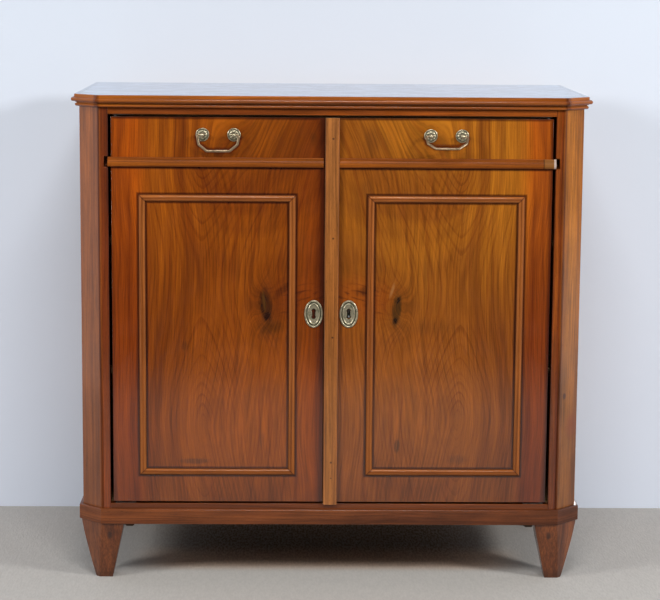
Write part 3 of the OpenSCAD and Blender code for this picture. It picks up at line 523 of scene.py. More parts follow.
# Polish is worn off the posts' outer arris, and off the right cant higher up
def postGloss(w, x, y, z):
    arris = w.times(seam(w, w.size(x), 503.0, 5.5), atFront(w, y))
    worn = w.times(w.step(z, 620.0, 900.0, 0.0, 0.8), w.step(x, 0.0, 1.0))
    return w.times(w.inverse(arris), w.inverse(worn), 0.85), 0.16


# 1 on the upper face of the top's edge
def upperFace(w, z):
    return w.step(z, topZ - 0.7, topZ - 0.2)


# The upper face of the top's edge is polished like the top board
def edgeGloss(w, x, y, z):
    upper = upperFace(w, z)
    return w.add(0.30, w.times(upper, 0.70)), w.minus(0.14, w.times(upper, 0.07))


# Dirt in the mitres of the top's edge; its upper face is as dark as the top board
def edgeMarks(w, shade, x, y, z):
    mitre = w.times(seam(w, w.size(x), 508.0, 9.0), atFront(w, y, frontY + 21.0, frontY + 41.0))
    shade = dim(w, w.times(mitre, 0.8), shade, (0.35, 0.25, 0.38))
    return dim(w, upperFace(w, z), shade, (0.60, 0.62, 0.70))


# Middle and half size of the right panel frame's outer rectangle, across and upwards
frameLow, frameHigh = boxMm("right_panel_moulding")
frameMiddle = middleMm("right_panel_moulding")
frameHalf = ((frameHigh - frameLow) / 2)[[0, 2]].tolist()


# Dirt with painted shade in the quirks of the panel frames, by closeness to the door's face, and
# in the groove along the crown; dirt in the mitres, where the ways in from two outer edges are
# alike
def frameDirtAndShade(w, shade, x, y, z):
    # painted shade and dirt low in the quirks, next to the door's face
    low = w.step(y, frontY - 2.6, frontY - 1.2)
    shade = dim(w, w.times(low, 0.9), shade, (0.22, 0.13, 0.11))
    across = w.minus(frameHalf[0], w.size(w.minus(w.size(x), frameMiddle[0])))
    rise = w.minus(frameHalf[1], w.size(w.minus(z, frameMiddle[1])))
    mitre = seam(w, w.minus(across, rise), 0.0, 2.2)
    near = w.step(w.most(across, rise), panelWidth - 2.0, panelWidth + 2.0, 1.0, 0.0)
    shade = dim(w, w.times(mitre, near, 0.8), shade, (0.30, 0.20, 0.20))
    groove = seam(w, w.least(across, rise), 8.6, 2.2)
    return dim(w, w.times(groove, 0.55), shade, (0.55, 0.40, 0.32))


# The bare edges of a door leaf are painted dark, as shade in the gaps around the door
def coreEdgeShade(w, shade, x, y, z):
    rim = w.most(w.step(z, doorTop - 1.5, doorTop - 0.3), w.step(w.size(x), 476.0, 477.5))
    return dim(w, w.times(rim, 0.95), shade, (0.10, 0.06, 0.05))


# The right divider's last stretch is a later piece, and its end is chipped and pale. Both
# dividers take painted shade along their lowest edge
def dividerMarks(w, shade, x, y, z):
    piece = w.step(x, 458.0, 459.5)
    shade = w.mix(w.times(piece, 0.45), shade, colour(0.20, 0.105, 0.030))
    shade = dim(w, w.times(seam(w, x, 458.5, 2.2), 0.7), shade, (0.3, 0.25, 0.25))
    chip = w.step(x, 479.5, 481.0)
    shade = w.mix(w.times(chip, 0.85), shade, colour(0.42, 0.34, 0.30))
    # painted shade along the divider's lowest edge
    underDividerShade = w.step(z, dividerZ, dividerZ + 4.5, 1.0, 0.0)
    return dim(w, w.times(underDividerShade, 0.75), shade, (0.40, 0.28, 0.25))


# The base is darker and more streaked to the right
def baseMarks(w, shade, x, y, z):
    cloud = w.noise(w.joined(w.over(x, 170.0), w.over(y, 170.0), w.over(z, 60.0)), detail=3.0)
    dark = w.times(w.step(x, -160.0, 160.0, 0.15, 0.95), w.step(cloud, 0.30, 0.62, 0.5, 1.0))
    return dim(w, dark, shade, (0.42, 0.40, 0.48))


# A small knot on each front foot, and scuffed dirt towards the floor
def footMarks(w, shade, x, y, z):
    ragged = fray(w, x, y, z, 7.0, 9.0)
    knot = patch(w, w.size(x), z, ragged, 488.0, 103.0, 5.0, 8.0, soft=0.45)
    knot = w.times(knot, atFront(w, y, -200.0), 0.75)
    shade = w.mix(knot, shade, colour(0.03, 0.012, 0.008))
    floorDirt = w.step(w.add(z, w.times(ragged, 30.0)), 4.0, 26.0, 0.65, 0.0)
    return dim(w, floorDirt, shade, (0.40, 0.38, 0.40))


# Each back board has its own tone, and dirt has settled in the joints between them
def backMarks(w, shade, x, y, z):
    low, high = boxMm("back_boards")
    boards = 5
    place = w.over(w.minus(x, float(low[0])), float(high[0] - low[0]) / boards)
    tone = w.noise(w.joined(w.times(w.calc("FLOOR", place), 7.31), 0.5, 0.5), detail=0.0)
    shade = dim(w, w.step(tone, 0.35, 0.65, 0.0, 0.7), shade, (0.70, 0.64, 0.60))
    joint = w.step(w.size(w.minus(w.calc("FRACT", place), 0.5)), 0.488, 0.498)
    return dim(w, w.times(joint, 0.9), shade, (0.12, 0.09, 0.08))


# Undersides near the floor are painted dark, to deepen the shade under the cupboard
def undersideShade(w, shade, x, y, z):
    return dim(w, w.step(z, 154.5, 156.0, 0.85, 0.0), shade, (0.24, 0.17, 0.12))


woodPlans = {
    "postWood": {"along": "z", "seed": 310, "band": 22, "pale": (0.25, 0.070, 0.011),
                 "dark": (0.14, 0.034, 0.006), "rough": 0.40, "coat": 0.85, "contrast": 0.6,
                 "after": postMarks, "gloss": postGloss},
    "postWoodRight": {"along": "z", "seed": 345, "band": 26, "pale": (0.32, 0.108, 0.010),
                      "dark": (0.18, 0.050, 0.005), "rough": 0.40, "coat": 0.8,
                      "contrast": 0.75, "after": postMarks, "gloss": postGloss},
    "sideWood": {"along": "z", "seed": 90, "band": 46, "pale": (0.28, 0.078, 0.008),
                 "dark": (0.12, 0.028, 0.003), "rough": 0.40, "coat": 0.8},
    "topWood": {"along": "x", "seed": 55, "band": 40, "pale": (0.17, 0.052, 0.012),
                "dark": (0.085, 0.023, 0.006), "rough": 0.22, "coat": 1.0,
                "coatRough": 0.07, "coatIndex": 1.7, "relief": 0.03},
    "railWood": {"along": "x", "seed": 140, "band": 18, "pale": (0.25, 0.058, 0.004),
                 "dark": (0.11, 0.022, 0.002), "rough": 0.45, "coat": 0.25, "contrast": 0.5},
    "edgeWood": {"along": "run", "seed": 20, "band": 14, "pale": (0.33, 0.092, 0.008),
                 "dark": (0.17, 0.040, 0.004), "rough": 0.38, "coat": 0.30,
                 "contrast": 0.5, "coatIndex": 1.7, "after": edgeMarks, "gloss": edgeGloss},
    "frameWood": {"along": "run", "seed": 24, "band": 12, "pale": (0.31, 0.096, 0.016),
                  "dark": (0.19, 0.052, 0.008), "rough": 0.42, "coat": 0.3,
                  "contrast": 0.5, "after": frameDirtAndShade},
    "dividerWood": {"along": "run", "seed": 29, "band": 12, "pale": (0.235, 0.062, 0.004),
                    "dark": (0.155, 0.036, 0.002), "rough": 0.52, "coat": 0.03,
                    "contrast": 0.5, "after": dividerMarks},
    "stripWood": {"along": "z", "seed": 600, "band": 11, "pale": (0.34, 0.122, 0.027),
                  "dark": (0.20, 0.065, 0.014), "rough": 0.42, "coat": 0.7,
                  "contrast": 0.65, "after": stripMarks},
    "baseWood": {"along": "run", "seed": 75, "band": 16, "pale": (0.225, 0.063, 0.015),
                 "dark": (0.11, 0.028, 0.007), "rough": 0.42, "coat": 0.35,
                 "contrast": 0.75, "after": baseMarks},
    "bottomRailWood": {"along": "x", "seed": 79, "band": 16, "pale": (0.165, 0.040, 0.008),
                       "dark": (0.080, 0.018, 0.004), "rough": 0.42, "coat": 0.5},
    "footWood": {"along": "z", "seed": 410, "band": 20, "pale": (0.168, 0.046, 0.011),
                 "dark": (0.080, 0.020, 0.006), "rough": 0.42, "coat": 0.7,
                 "contrast": 0.6, "after": footMarks},
    "coreWood": {"along": "z", "seed": 720, "band": 26, "pale": (0.46, 0.29, 0.14),
                 "dark": (0.27, 0.15, 0.07), "rough": 0.55, "coat": 0.0, "relief": 0.6,
                 "after": coreEdgeShade},
    "boardWood": {"along": "z", "seed": 800, "band": 30, "pale": (0.54, 0.30, 0.13),
                  "dark": (0.31, 0.15, 0.06), "rough": 0.62, "coat": 0.0, "relief": 0.7,
                  "contrast": 0.5, "after": backMarks},
    "shelfWood": {"along": "x", "seed": 860, "band": 34, "pale": (0.47, 0.31, 0.16),
                  "dark": (0.29, 0.17, 0.08), "rough": 0.58, "coat": 0.0, "relief": 0.6,
                  "after": undersideShade},
    "blockWood": {"along": "x", "seed": 930, "band": 20, "pale": (0.10, 0.055, 0.03),
                  "dark": (0.03, 0.018, 0.010), "rough": 0.70, "coat": 0.0, "relief": 0.9},
    "endGrain": {"along": "y", "seed": 990, "band": 8, "pale": (0.50, 0.30, 0.16),
                 "dark": (0.30, 0.15, 0.07), "rough": 0.55, "coat": 0.0},
}
woods = {name: makeWood(name, plan) for name, plan in woodPlans.items()}
# Copies for the rounded arrises, paler both as wear and as a painted highlight
rubbedAndLit = {name: makeWood(name + "RubbedAndLit", woodPlans[name], worn=0.45)
          for name in ("postWood", "postWoodRight", "sideWood", "topWood", "railWood",
                       "bottomRailWood", "coreWood", "boardWood", "shelfWood", "blockWood")}
print("woods made:", len(woods) + len(rubbedAndLit))


# Metal: brass worn pale on its high places and brown-green with tarnish in the hollows that
# the piece marks, or dark iron; the lock's pin is bright where the key rubs it
def makeMetal(name, plan):
    material, w, shader = startMaterial(name)
    place = placeAlong(w, "z")
    cloud = w.noise(w.scaled(place, (1 / 8, 1 / 8, 1 / 8)), detail=4.0, roughness=0.6)
    speck = w.noise(w.scaled(place, (1 / 1.5, 1 / 1.5, 1 / 1.5)), detail=2.0)
    tarnish = w.step(w.add(cloud, w.times(w.minus(speck, 0.5), 0.3)), 0.44, 0.70)
    deep = w.node("ShaderNodeAttribute", attribute_name="hollow").outputs["Fac"]
    shade = w.mix(tarnish, colour(*plan["bright"]), colour(*plan["tarnish"]))
    shade = w.mix(deep, shade, colour(*plan["deep"]))
    if "pin" in plan:
        x, y, z = w.split(place)
        px, pz = plan["pin"]
        away = w.length(w.minus(x, px), w.minus(z, pz))
        shade = w.mix(w.step(away, 1.9, 2.3, 1.0, 0.0), shade, colour(0.72, 0.76, 0.82))
    w.put(shader["Base Color"], shade)
    w.put(shader["Roughness"], w.add(plan["rough"], w.times(tarnish, 0.15), w.times(deep, 0.25)))
    w.put(shader["Normal"], w.bump(w.add(cloud, w.times(speck, 0.3)), 0.15, 0.0005))
    w.put(shader["Metallic"], w.times(w.minus(1.0, w.times(deep, 0.6)), plan["metallic"]))
    return material


iron = {"bright": (0.20, 0.19, 0.18), "tarnish": (0.09, 0.07, 0.06),
        "deep": (0.02, 0.02, 0.02)}
metalPlans = {
    "agedBrass": {"bright": (0.47, 0.415, 0.29), "tarnish": (0.20, 0.19, 0.12),
                  "deep": (0.024, 0.028, 0.012), "rough": 0.30, "metallic": 0.85},
    "bailBrass": {"bright": (0.32, 0.235, 0.145), "tarnish": (0.17, 0.125, 0.072),
                  "deep": (0.03, 0.02, 0.01), "rough": 0.38, "metallic": 0.8},
    "darkIron": {**iron, "rough": 0.45, "metallic": 0.9},
    # the drill pin stands 6 mm below the keyhole's middle
    "lockIron": {**iron, "rough": 0.40, "metallic": 0.8, "pin": (keyMiddle[0], keyMiddle[1] - 6)},
}
metals = {name: makeMetal(name, plan) for name, plan in metalPlans.items()}
print("metals made:", len(metals))


# Sizes of the doors' figure in millimetres
figurePlan = {
    "p": 1.6,              # shape of the arches, 2 for ellipses and 1 for points
    "depth": 80.0,         # of the arches at the saddle
    "fall": 270.0,         # from the saddle up to where the depth is 0 again
    "ring": 9.0,           # from one ring to the next
    "hairline": 4.1,       # from one fine line between the rings to the next
    "knotPush": 45.0,      # rings that the knot pushes aside
    "knotWide": 30.0,
    "knotHigh": 45.0,
    "leanFrom": 650.0,     # height above which streaks lean towards the meeting edge
    "lean": 0.0006,
}


# Cathedral figure of a flat-sawn leaf, in millimetres: u is the distance from the cupboard's
# middle, z the height. Rings are the level lines of R = (|U|^p + D^p)^(1/p), with U measured
# from the figure's middle and D rising from 0 at the eye to full depth at the saddle and
# falling again above it, so arches stand below the saddle and V shapes above
def makeFigure(plan):
    tree, w, given, out = startGroup(
        "cathedralFigure",
        {"Place": (arrow, (0, 0, 0)), "Seed": (number, 0.0), "Middle": (number, 279.0),
         "Eye": (number, 367.0), "Saddle": (number, 657.0), "KnotZ": (number, 618.0)},
        {"Ring": number, "Band": number, "Fibre": number, "Pore": number, "Streak": number,
         "Strand": number},
    )
    u, y, z = w.split(given["Place"])
    seeded = w.moved(given["Place"], w.joined(given["Seed"], given["Seed"], given["Seed"]))
    # streaks near the meeting edge lean towards it going up, by lean * (z - leanFrom)^2
    above = w.most(w.minus(z, plan["leanFrom"]), 0.0)
    near = w.step(u, 150.0, 285.0, 1.0, 0.0)
    lean = w.times(above, above, plan["lean"], near)
    wave = w.minus(w.noise(w.scaled(seeded, (1 / 210, 0, 1 / 430)), detail=2.0), 0.5)
    jitter = w.minus(w.noise(w.scaled(seeded, (1 / 15, 0, 1 / 110)), detail=2.0), 0.5)
    across = w.add(u, lean, w.times(wave, 30.0), w.times(jitter, 3.5))
    side = w.most(w.size(w.minus(across, given["Middle"])), 0.5)
    rise = w.over(w.minus(z, given["Eye"]), w.minus(w.add(given["Saddle"], 5.0), given["Eye"]))
    lower = w.size(w.calc("SINE", w.times(w.least(w.most(rise, -1.0), 1.0), math.pi / 2)))
    past = w.least(w.most(w.over(w.minus(z, given["Saddle"]), plan["fall"]), 0.0), 1.0)
    upper = w.calc("COSINE", w.times(past, math.pi / 2))
    depth = w.most(w.times(w.least(lower, upper), plan["depth"]), 0.5)
    radius = w.power(w.add(w.power(side, plan["p"]), w.power(depth, plan["p"])), 1 / plan["p"])
    du = w.over(w.minus(u, knotX), plan["knotWide"])
    dz = w.over(w.minus(z, given["KnotZ"]), plan["knotHigh"])
    knot = w.calc("EXPONENT", w.times(w.add(w.times(du, du), w.times(dz, dz)), -1.0))
    radius = w.add(radius, w.times(knot, plan["knotPush"]))
    # a ring darkens slowly outwards and ends at a sharp line
    uneven = w.noise(w.joined(w.over(radius, 26.0), given["Seed"], 0.0), detail=2.0)
    phase = w.add(w.over(radius, plan["ring"]), w.times(uneven, 1.8))
    part = w.calc("FRACT", phase)
    line = w.times(w.step(part, 0.45, 0.92), w.step(part, 0.92, 1.0, 1.0, 0.0))
    strength = w.noise(w.joined(w.over(radius, 15.0), w.over(z, 200.0), given["Seed"]),
                       detail=2.0)
    turns = w.add(w.over(radius, plan["hairline"]), w.times(jitter, 1.5))
    fine = w.calc("SINE", w.times(turns, 2 * math.pi))
    plain = w.step(w.size(w.minus(u, 250.0)), 120.0, 190.0, 1.0, 0.45)
    ring = w.times(line, w.step(strength, 0.36, 0.64, 0.15, 1.0), plain)
    w.put(out["Ring"], w.add(ring, w.times(fine, 0.12)))
    strand = w.noise(w.joined(w.over(w.add(across, w.times(radius, 0.25)), 5.5),
                              w.over(z, 300.0), w.add(given["Seed"], 3.0)),
                     detail=3.0, roughness=0.6)
    w.put(out["Strand"], strand)
    bandPlace = w.joined(w.over(w.add(w.times(radius, 0.55), w.times(across, 0.45)), 34.0),
                         w.over(z, 620.0), given["Seed"])
    w.put(out["Band"], w.step(w.noise(bandPlace, detail=4.0, roughness=0.6), 0.30, 0.70))
    drawn = w.joined(w.over(w.add(across, w.times(radius, 0.5)), 2.6), given["Seed"],
                     w.over(z, 150.0))
    w.put(out["Fibre"], w.step(w.noise(drawn, detail=3.0, roughness=0.65), 0.28, 0.72))
    dots = w.noise(w.joined(w.over(across, 0.8), given["Seed"], w.over(z, 8.0)), detail=1.0)
    w.put(out["Pore"], w.step(dots, 0.60, 0.74))
    streak = w.noise(w.joined(w.over(across, 12.0), w.over(z, 620.0), w.add(given["Seed"], 7.0)),
                     detail=3.0)
    w.put(out["Streak"], w.step(streak, 0.53, 0.70))
    return tree


cathedralFigure = makeFigure(figurePlan)


# Old dirt with painted shade on a door: beside the panel moulding, by distance from its outer and
# inner rectangles, under the divider, along the top, and along the meeting edge and the outer
# edge
def doorDirtAndShade(w, u, z, plan):
    outer = w.most(w.minus(w.size(w.minus(u, frameMiddle[0])), frameHalf[0]),
                   w.minus(w.size(w.minus(z, frameMiddle[1])), frameHalf[1]))
    dirtAndShade = w.most(seam(w, outer, 0.0, 5.5), seam(w, outer, -panelWidth, 5.5))
    dirtAndShade = w.most(dirtAndShade, w.most(seam(w, z, dividerZ - 1.2, 6.0), seam(w, z, doorTop, 7.0)))
    edge = w.step(u, 16.0, plan["edgeDirtAndShade"], 1.0, 0.0)
    outerEdge = w.step(u, 466.0, 477.0, 0.0, plan["outerDirtAndShade"])
    return w.most(w.most(w.times(dirtAndShade, 0.8), outerEdge), w.times(edge, plan["edgeStrength"]))


# Painted shadow of the bail on the door, by distance from its rod where it hangs: the grip,
# the shoulder and the arm, each as one straight stretch, with the grip's height given
def paintedBailShadow(w, u, z, bailShadowDrop):
    x = w.size(w.minus(u, handleMiddle[0]))
    rise = w.minus(z, handleMiddle[1])
    corners = [(0.0, bailShadowDrop), (24.5, bailShadowDrop), (41.5, bailShadowDrop * 0.6), (45.0, -6.0)]
    grip, shoulder, arm = (fromLine(w, x, rise, a, b) for a, b in zip(corners, corners[1:]))
    return w.step(w.least(grip, w.least(shoulder, arm)), 3.0, 9.5, 0.85, 0.0)


# Flame beside the knot: redder, with dark streaks that fan out from the knot
def flameMarks(w, shade, u, z, ragged, plan):
    flame = patch(w, u, z, w.times(ragged, 0.5), *plan["flame"], 70.0, 42.0, soft=0.7)
    shade = w.mix(w.times(flame, 0.55), shade, colour(*plan["flameColour"]))
    spread = w.add(z, w.times(w.minus(u, knotX), 0.28))
    fan = w.noise(w.joined(w.over(u, 30.0), plan["seed"], w.over(spread, 8.0)),
                  detail=3.0, distortion=0.4)
    streaks = w.times(w.step(fan, 0.50, 0.72), flame)
    return w.mix(w.times(streaks, 0.75), shade, colour(0.045, 0.007, 0.002))


# Door leaf: figure, a flame and a knot towards the meeting edge, single marks, old dirt with
# painted shade, and the bail's painted shadow
def makeDoorVeneer(name, plan):
    material, w, shader = startMaterial(name)
    x, y, z = w.split(placeAlong(w, "z"))
    u = w.size(x)
    place = w.joined(u, 0.0, z)
    figure = w.group(cathedralFigure, Place=place, Seed=plan["seed"], Middle=plan["middle"],
                     Eye=plan["eye"], Saddle=plan["saddle"], KnotZ=plan["knotZ"])
    polish = w.group(oldPolish, Place=place, Fibre=figure["Fibre"], Pore=figure["Pore"])
    ragged = w.minus(w.noise(w.joined(w.over(x, 6.0), plan["seed"], w.over(z, 15.0)),
                             detail=4.0, roughness=0.6), 0.5)
    shade = w.mix(figure["Band"], colour(*plan["dark"]), colour(*plan["pale"]))
    # the outer stile and the meeting stile are redder than the middle
    redder = w.most(w.step(u, plan["redFrom"], plan["redFrom"] + 45.0),
                    w.step(u, 20.0, 110.0, plan["redIn"], 0.0))
    shade = dim(w, w.times(redder, 0.8), shade, plan["red"])
    shade = dim(w, w.times(figure["Streak"], 0.55), shade, (0.62, 0.48, 0.45))
    shade = dim(w, w.times(figure["Ring"], plan["ringDark"]), shade, (0.50, 0.36, 0.36))
    shade = dim(w, w.step(z, 520.0, 860.0, 1.0, 0.0), shade, plan["lowTone"])
    shade = dim(w, w.step(z, 180.0, plan["footReach"], 1.0, 0.0), shade, plan["footTone"])
    lift = w.add(1.0, w.times(w.minus(figure["Fibre"], 0.5), 0.58),
                 w.times(w.minus(figure["Strand"], 0.5), 0.45))
    shade = flameMarks(w, w.multiplied(shade, lift), u, z, ragged, plan)
    for cu, cz, halfU, halfZ, strength, tone, lean, soft in plan["marks"]:
        spot = patch(w, u, z, ragged, cu, cz, halfU, halfZ, soft=soft, lean=lean)
        grainy = w.step(figure["Fibre"], 0.1, 0.9, 1.0, 0.72)
        shade = w.mix(w.times(spot, strength, grainy), shade, colour(*tone))
    shade = dim(w, w.times(figure["Pore"], 0.40), shade, (0.35, 0.35, 0.35))
    shade = dim(w, doorDirtAndShade(w, u, z, plan), shade, (0.15, 0.07, 0.05))
    shade = dim(w, paintedBailShadow(w, u, z, plan["bailShadowDrop"]), shade, (0.30, 0.12, 0.06))
    w.put(shader["Base Color"], shade)
    w.put(shader["Roughness"], w.add(0.45, w.times(polish["Smear"], 0.12)))
    w.put(shader["Normal"], w.bump(polish["Height"], 0.18, 0.0010))
    w.put(shader["Coat Roughness"], w.add(0.12, w.times(polish["Smear"], 0.05)))
    shader["Coat Weight"].default_value = 1.0
    shader["Coat IOR"].default_value = 1.6
    shader["Specular IOR Level"].default_value = 0.06
    return material


doorPlans = {
    "left": {
        "seed": 40, "middle": 279.0, "eye": 351.0, "saddle": 685.0, "knotZ": 620.0,
        "pale": (0.348, 0.089, 0.003), "dark": (0.148, 0.030, 0.0012), "red": (0.90, 0.63, 0.5),
        "redFrom": 385.0, "redIn": 0.8, "ringDark": 0.50, "lowTone": (0.675, 0.60, 0.78),
        "footTone": (0.88, 0.90, 1.15), "footReach": 330.0, "bailShadowDrop": -34.5,
        "flame": (79.0, 633.0), "flameColour": (0.21, 0.036, 0.002),
        # u, z, half sizes, strength, colour, lean, softness
        "marks": [(85, 985, 100, 75, 0.55, (0.10, 0.021, 0.001), 0.0, 0.9),
                  (85, 610, 62, 75, 0.40, (0.085, 0.016, 0.001), 0.0, 0.9),
                  (139, 620, 27, 58, 0.55, (0.085, 0.018, 0.001), 0.06, 0.7),
                  (143, 620, 13, 36, 0.97, (0.022, 0.007, 0.0012), 0.10, 0.38),
                  (147, 630, 3.0, 20, 0.55, (0.11, 0.042, 0.006), 0.12, 0.6),
                  (140, 597, 6, 9, 0.80, (0.010, 0.001, 0.0005), 0.0, 0.5),
                  (131, 571, 23, 14, 0.70, (0.050, 0.014, 0.001), -0.4, 0.7),
                  (107, 655, 10, 18, 0.65, (0.045, 0.008, 0.001), -0.8, 0.6),
                  (319, 530, 7, 10, 0.50, (0.060, 0.016, 0.003), 0.0, 0.5),
                  (298, 272, 30, 6, 0.60, (0.035, 0.016, 0.008), 0.0, 0.5),
                  (152, 320, 5, 16, 0.35, (0.06, 0.02, 0.008), 0.0, 0.5),
                  (40, 985, 8, 16, 0.45, (0.05, 0.014, 0.002), 0.2, 0.6),
                  # painted shade in the dummy keyhole, over the wood that fills it
                  (*keyMiddle, 7, 12, 0.92, (0.030, 0.005, 0.002), 0.0, 0.2)],
        "edgeDirtAndShade": 46.0, "edgeStrength": 0.80, "outerDirtAndShade": 0.5,
    },
    "right": {
        "seed": 40, "middle": 279.0, "eye": 367.0, "saddle": 657.0, "knotZ": 616.6,
        "pale": (0.425, 0.147, 0.008), "dark": (0.195, 0.054, 0.004), "red": (0.73, 0.385, 0.35),
        "redFrom": 395.0, "redIn": 0.1, "ringDark": 0.50, "lowTone": (0.575, 0.465, 0.78),
        "footTone": (0.77, 0.72, 0.95), "footReach": 480.0, "bailShadowDrop": -24.8,
        "flame": (61.0, 634.0), "flameColour": (0.26, 0.050, 0.003),
        "marks": [(143, 616, 22, 50, 0.40, (0.12, 0.034, 0.003), 0.06, 0.7),
                  (143, 612, 9.5, 33, 0.94, (0.040, 0.017, 0.0025), 0.08, 0.33),
                  (147, 634, 4.0, 8, 0.80, (0.008, 0.003, 0.001), 0.3, 0.5),
                  (140, 588, 5.0, 7, 0.90, (0.006, 0.002, 0.001), 0.0, 0.5),
                  (133, 655, 3, 14, 0.5, (0.40, 0.19, 0.06), 0.3, 0.6),
                  (75, 654, 20, 11, 0.65, (0.035, 0.008, 0.002), 0.7, 0.6),
                  (147, 308, 6, 15, 0.65, (0.03, 0.014, 0.006), 0.05, 0.4),
                  (281, 277, 20, 9, 0.45, (0.05, 0.020, 0.008), 0.0, 0.6),
                  (215, 575, 60, 14, 0.30, (0.09, 0.028, 0.005), -0.3, 0.8),
                  (88, 985, 14, 28, 0.5, (0.08, 0.024, 0.005), 0.0, 0.7),
                  (75, 880, 10, 16, 0.35, (0.08, 0.024, 0.005), 0.0, 0.7)],
        "edgeDirtAndShade": 32.0, "edgeStrength": 0.45, "outerDirtAndShade": 0.85,
    },
}
doorVeneers = {word: makeDoorVeneer(word + "DoorVeneer", plan)
               for word, plan in doorPlans.items()}
print("door veneers made:", len(doorVeneers))


# Surfaces

# A skin from a grid of points in millimetres, rows by columns. The columns always close on
# themselves. The rows close too, or flat caps close both ends. spans gives, for each strip
# between two rows, the run's length at its start and end, and around the length round the
# columns; both become the piece's own coordinates. hollow is 0 to 1 for each point
def skin(points, closedRows=False, spans=None, around=None, hollow=None):
    rows, cols = points.shape[:2]
    strips = rows if closedRows else rows - 1
    r = np.arange(strips)[:, None]
    c = np.arange(cols)[None, :]
    here, beyond = r * cols, ((r + 1) % rows) * cols
    after = (c + 1) % cols
    quads = np.stack([here + c, here + after, beyond + after, beyond + c], -1).reshape(-1, 4)
    flat = points.reshape(-1, 3)
    middle = flat.mean(0)
    a, b, d, e = (flat[quads[:, k]] - middle for k in range(4))
    volume = (np.einsum("ij,ij->i", a, np.cross(b, d)) +
              np.einsum("ij,ij->i", a, np.cross(d, e))).sum()
    order = [0, 1, 2, 3] if volume > 0 else [0, 3, 2, 1]
    faces = quads[:, order].tolist()
    if not closedRows:
        ring = list(range(cols))
        start, end = ring[::-1], [(rows - 1) * cols + k for k in ring]
        faces += [start, end] if volume > 0 else [start[::-1], end[::-1]]
    made = {"points": flat, "faces": faces, "caps": 0 if closedRows else 2}
    made["corners"] = np.zeros((sum(len(face) for face in faces), 2))
    if spans is not None:
        lengths = np.array(spans, float)
        rim = np.array(around, float)
        shape = (strips, cols)
        start, end = (np.broadcast_to(lengths[:, k][:, None], shape) for k in (0, 1))
        left, right = (np.broadcast_to(edge[None, :], shape) for edge in (rim[:-1], rim[1:]))
        u = np.stack([start, start, end, end], -1).reshape(-1, 4)[:, order]
        v = np.stack([left, right, right, left], -1).reshape(-1, 4)[:, order]
        made["corners"][:u.size] = np.stack([u, v], -1).reshape(-1, 2)
    given = 0.0 if hollow is None else np.broadcast_to(hollow, (rows, cols)).ravel()
    made["hollow"] = np.zeros(len(flat)) + given
    return made


# Several skins as one mesh, smooth but for caps and edges sharper than the given angle
def meshOf(name, skins, sharp=32.0):
    faces, flatFaces, offset = [], [], 0
    for made in skins:
        faces += [[k + offset for k in face] for face in made["faces"]]
        if made["caps"]:
            flatFaces += [len(faces) - 2, len(faces) - 1]
        offset += len(made["points"])
    mesh = bpy.data.meshes.new(name)
    mesh.from_pydata((np.vstack([m["points"] for m in skins]) * mm).tolist(), [], faces)
    layer = mesh.uv_layers.new(name="run")
    layer.data.foreach_set("uv", (np.vstack([m["corners"] for m in skins]) * mm).ravel())
    mark = mesh.attributes.new("hollow", "FLOAT", "POINT")
    mark.data.foreach_set("value", np.concatenate([m["hollow"] for m in skins]))
    smooth = np.ones(len(faces), bool)
    smooth[flatFaces] = False
    mesh.polygons.foreach_set("use_smooth", smooth)
    mesh.update()
    mesh.set_sharp_from_angle(angle=math.radians(sharp))
    return mesh


# One grid of points as a mesh
def gridMesh(name, points, sharp=32.0, **more):
    return meshOf(name, [skin(points, **more)], sharp)


# Length round a closed profile, one value more than it has points
def roundLength(profile):
    closed = np.vstack([profile, profile[:1]])
    return np.concatenate([[0], np.cumsum(np.linalg.norm(np.diff(closed, axis=0), axis=1))])


# A profile carried along a row of places: point = place + a * first axis + b * second axis
def carried(places, first, second, profile):
    return (places[:, None, :] + profile[None, :, 0, None] * first[:, None, :]
            + profile[None, :, 1, None] * second[:, None, :])


# Points on an arc in a profile, middle + radius * (cosine, sine), angles in degrees
def arc(cx, cy, radius, start, end, count):
    angle = np.radians(np.linspace(start, end, count))
    return np.stack([cx + radius * np.cos(angle), cy + radius * np.sin(angle)], -1)


# Points and arcs in their order, as one closed profile
def outline(*pieces):
    return np.vstack([np.atleast_2d(piece) for piece in pieces])


# A finished mesh becomes a piece: it stands for a node, hides it, rides where that rides
# and takes the given materials
def placePiece(name, mesh, node, materials, replaced=None):
    piece = bpy.data.objects.new(name, mesh)
    bpy.context.scene.collection.objects.link(piece)
    for material in materials:
        mesh.materials.append(material)
    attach(piece, nodes[node]["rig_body"])
    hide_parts(*(replaced or [node]))
    return piece


# The flat ends of a run, 0 the first and 1 the last, take the second material
def capMaterial(mesh, which=(0, 1)):
    last = len(mesh.polygons) - 2
    for k in which:
        mesh.polygons[last + k].material_index = 1


# A CAD node's triangles merged into one skin, its flat faces joined and its long arrises
# rounded; the faces of the rounding take the second material
def softened(node, width, materials, shortest=9.0):
    mesh = nodes[node].data.copy()
    mesh.name = node + "Soft"
    mesh.materials.clear()
    work = bmesh.new()
    work.from_mesh(mesh)
    bmesh.ops.remove_doubles(work, verts=work.verts, dist=1e-6)
    bmesh.ops.dissolve_limit(work, angle_limit=math.radians(0.5), verts=work.verts,
                             edges=work.edges)
    weight = work.edges.layers.float.new("bevel_weight_edge")
    for edge in work.edges:
        turned = edge.calc_face_angle(0.0) > math.radians(30)
        edge.smooth = not turned
        edge[weight] = 1.0 if turned and edge.calc_length() > shortest * mm else 0.0
    work.to_mesh(mesh)
    work.free()
    mesh.polygons.foreach_set("use_smooth", np.ones(len(mesh.polygons), bool))
    mesh.polygons.foreach_set("material_index", np.zeros(len(mesh.polygons), int))
    piece = placePiece(node + "_soft", mesh, node, materials)
    rounding = piece.modifiers.new("arris", "BEVEL")
    rounding.width = width * mm
    rounding.segments = 2
    rounding.limit_method = "WEIGHT"
    rounding.harden_normals = True
    if len(materials) > 1:
        rounding.material = 1
    return piece


# Millimetres between two places on a run, and by how much the grain breaks at a frame's mitre
runPlan = {"stride": 45.0, "jump": 311.0}


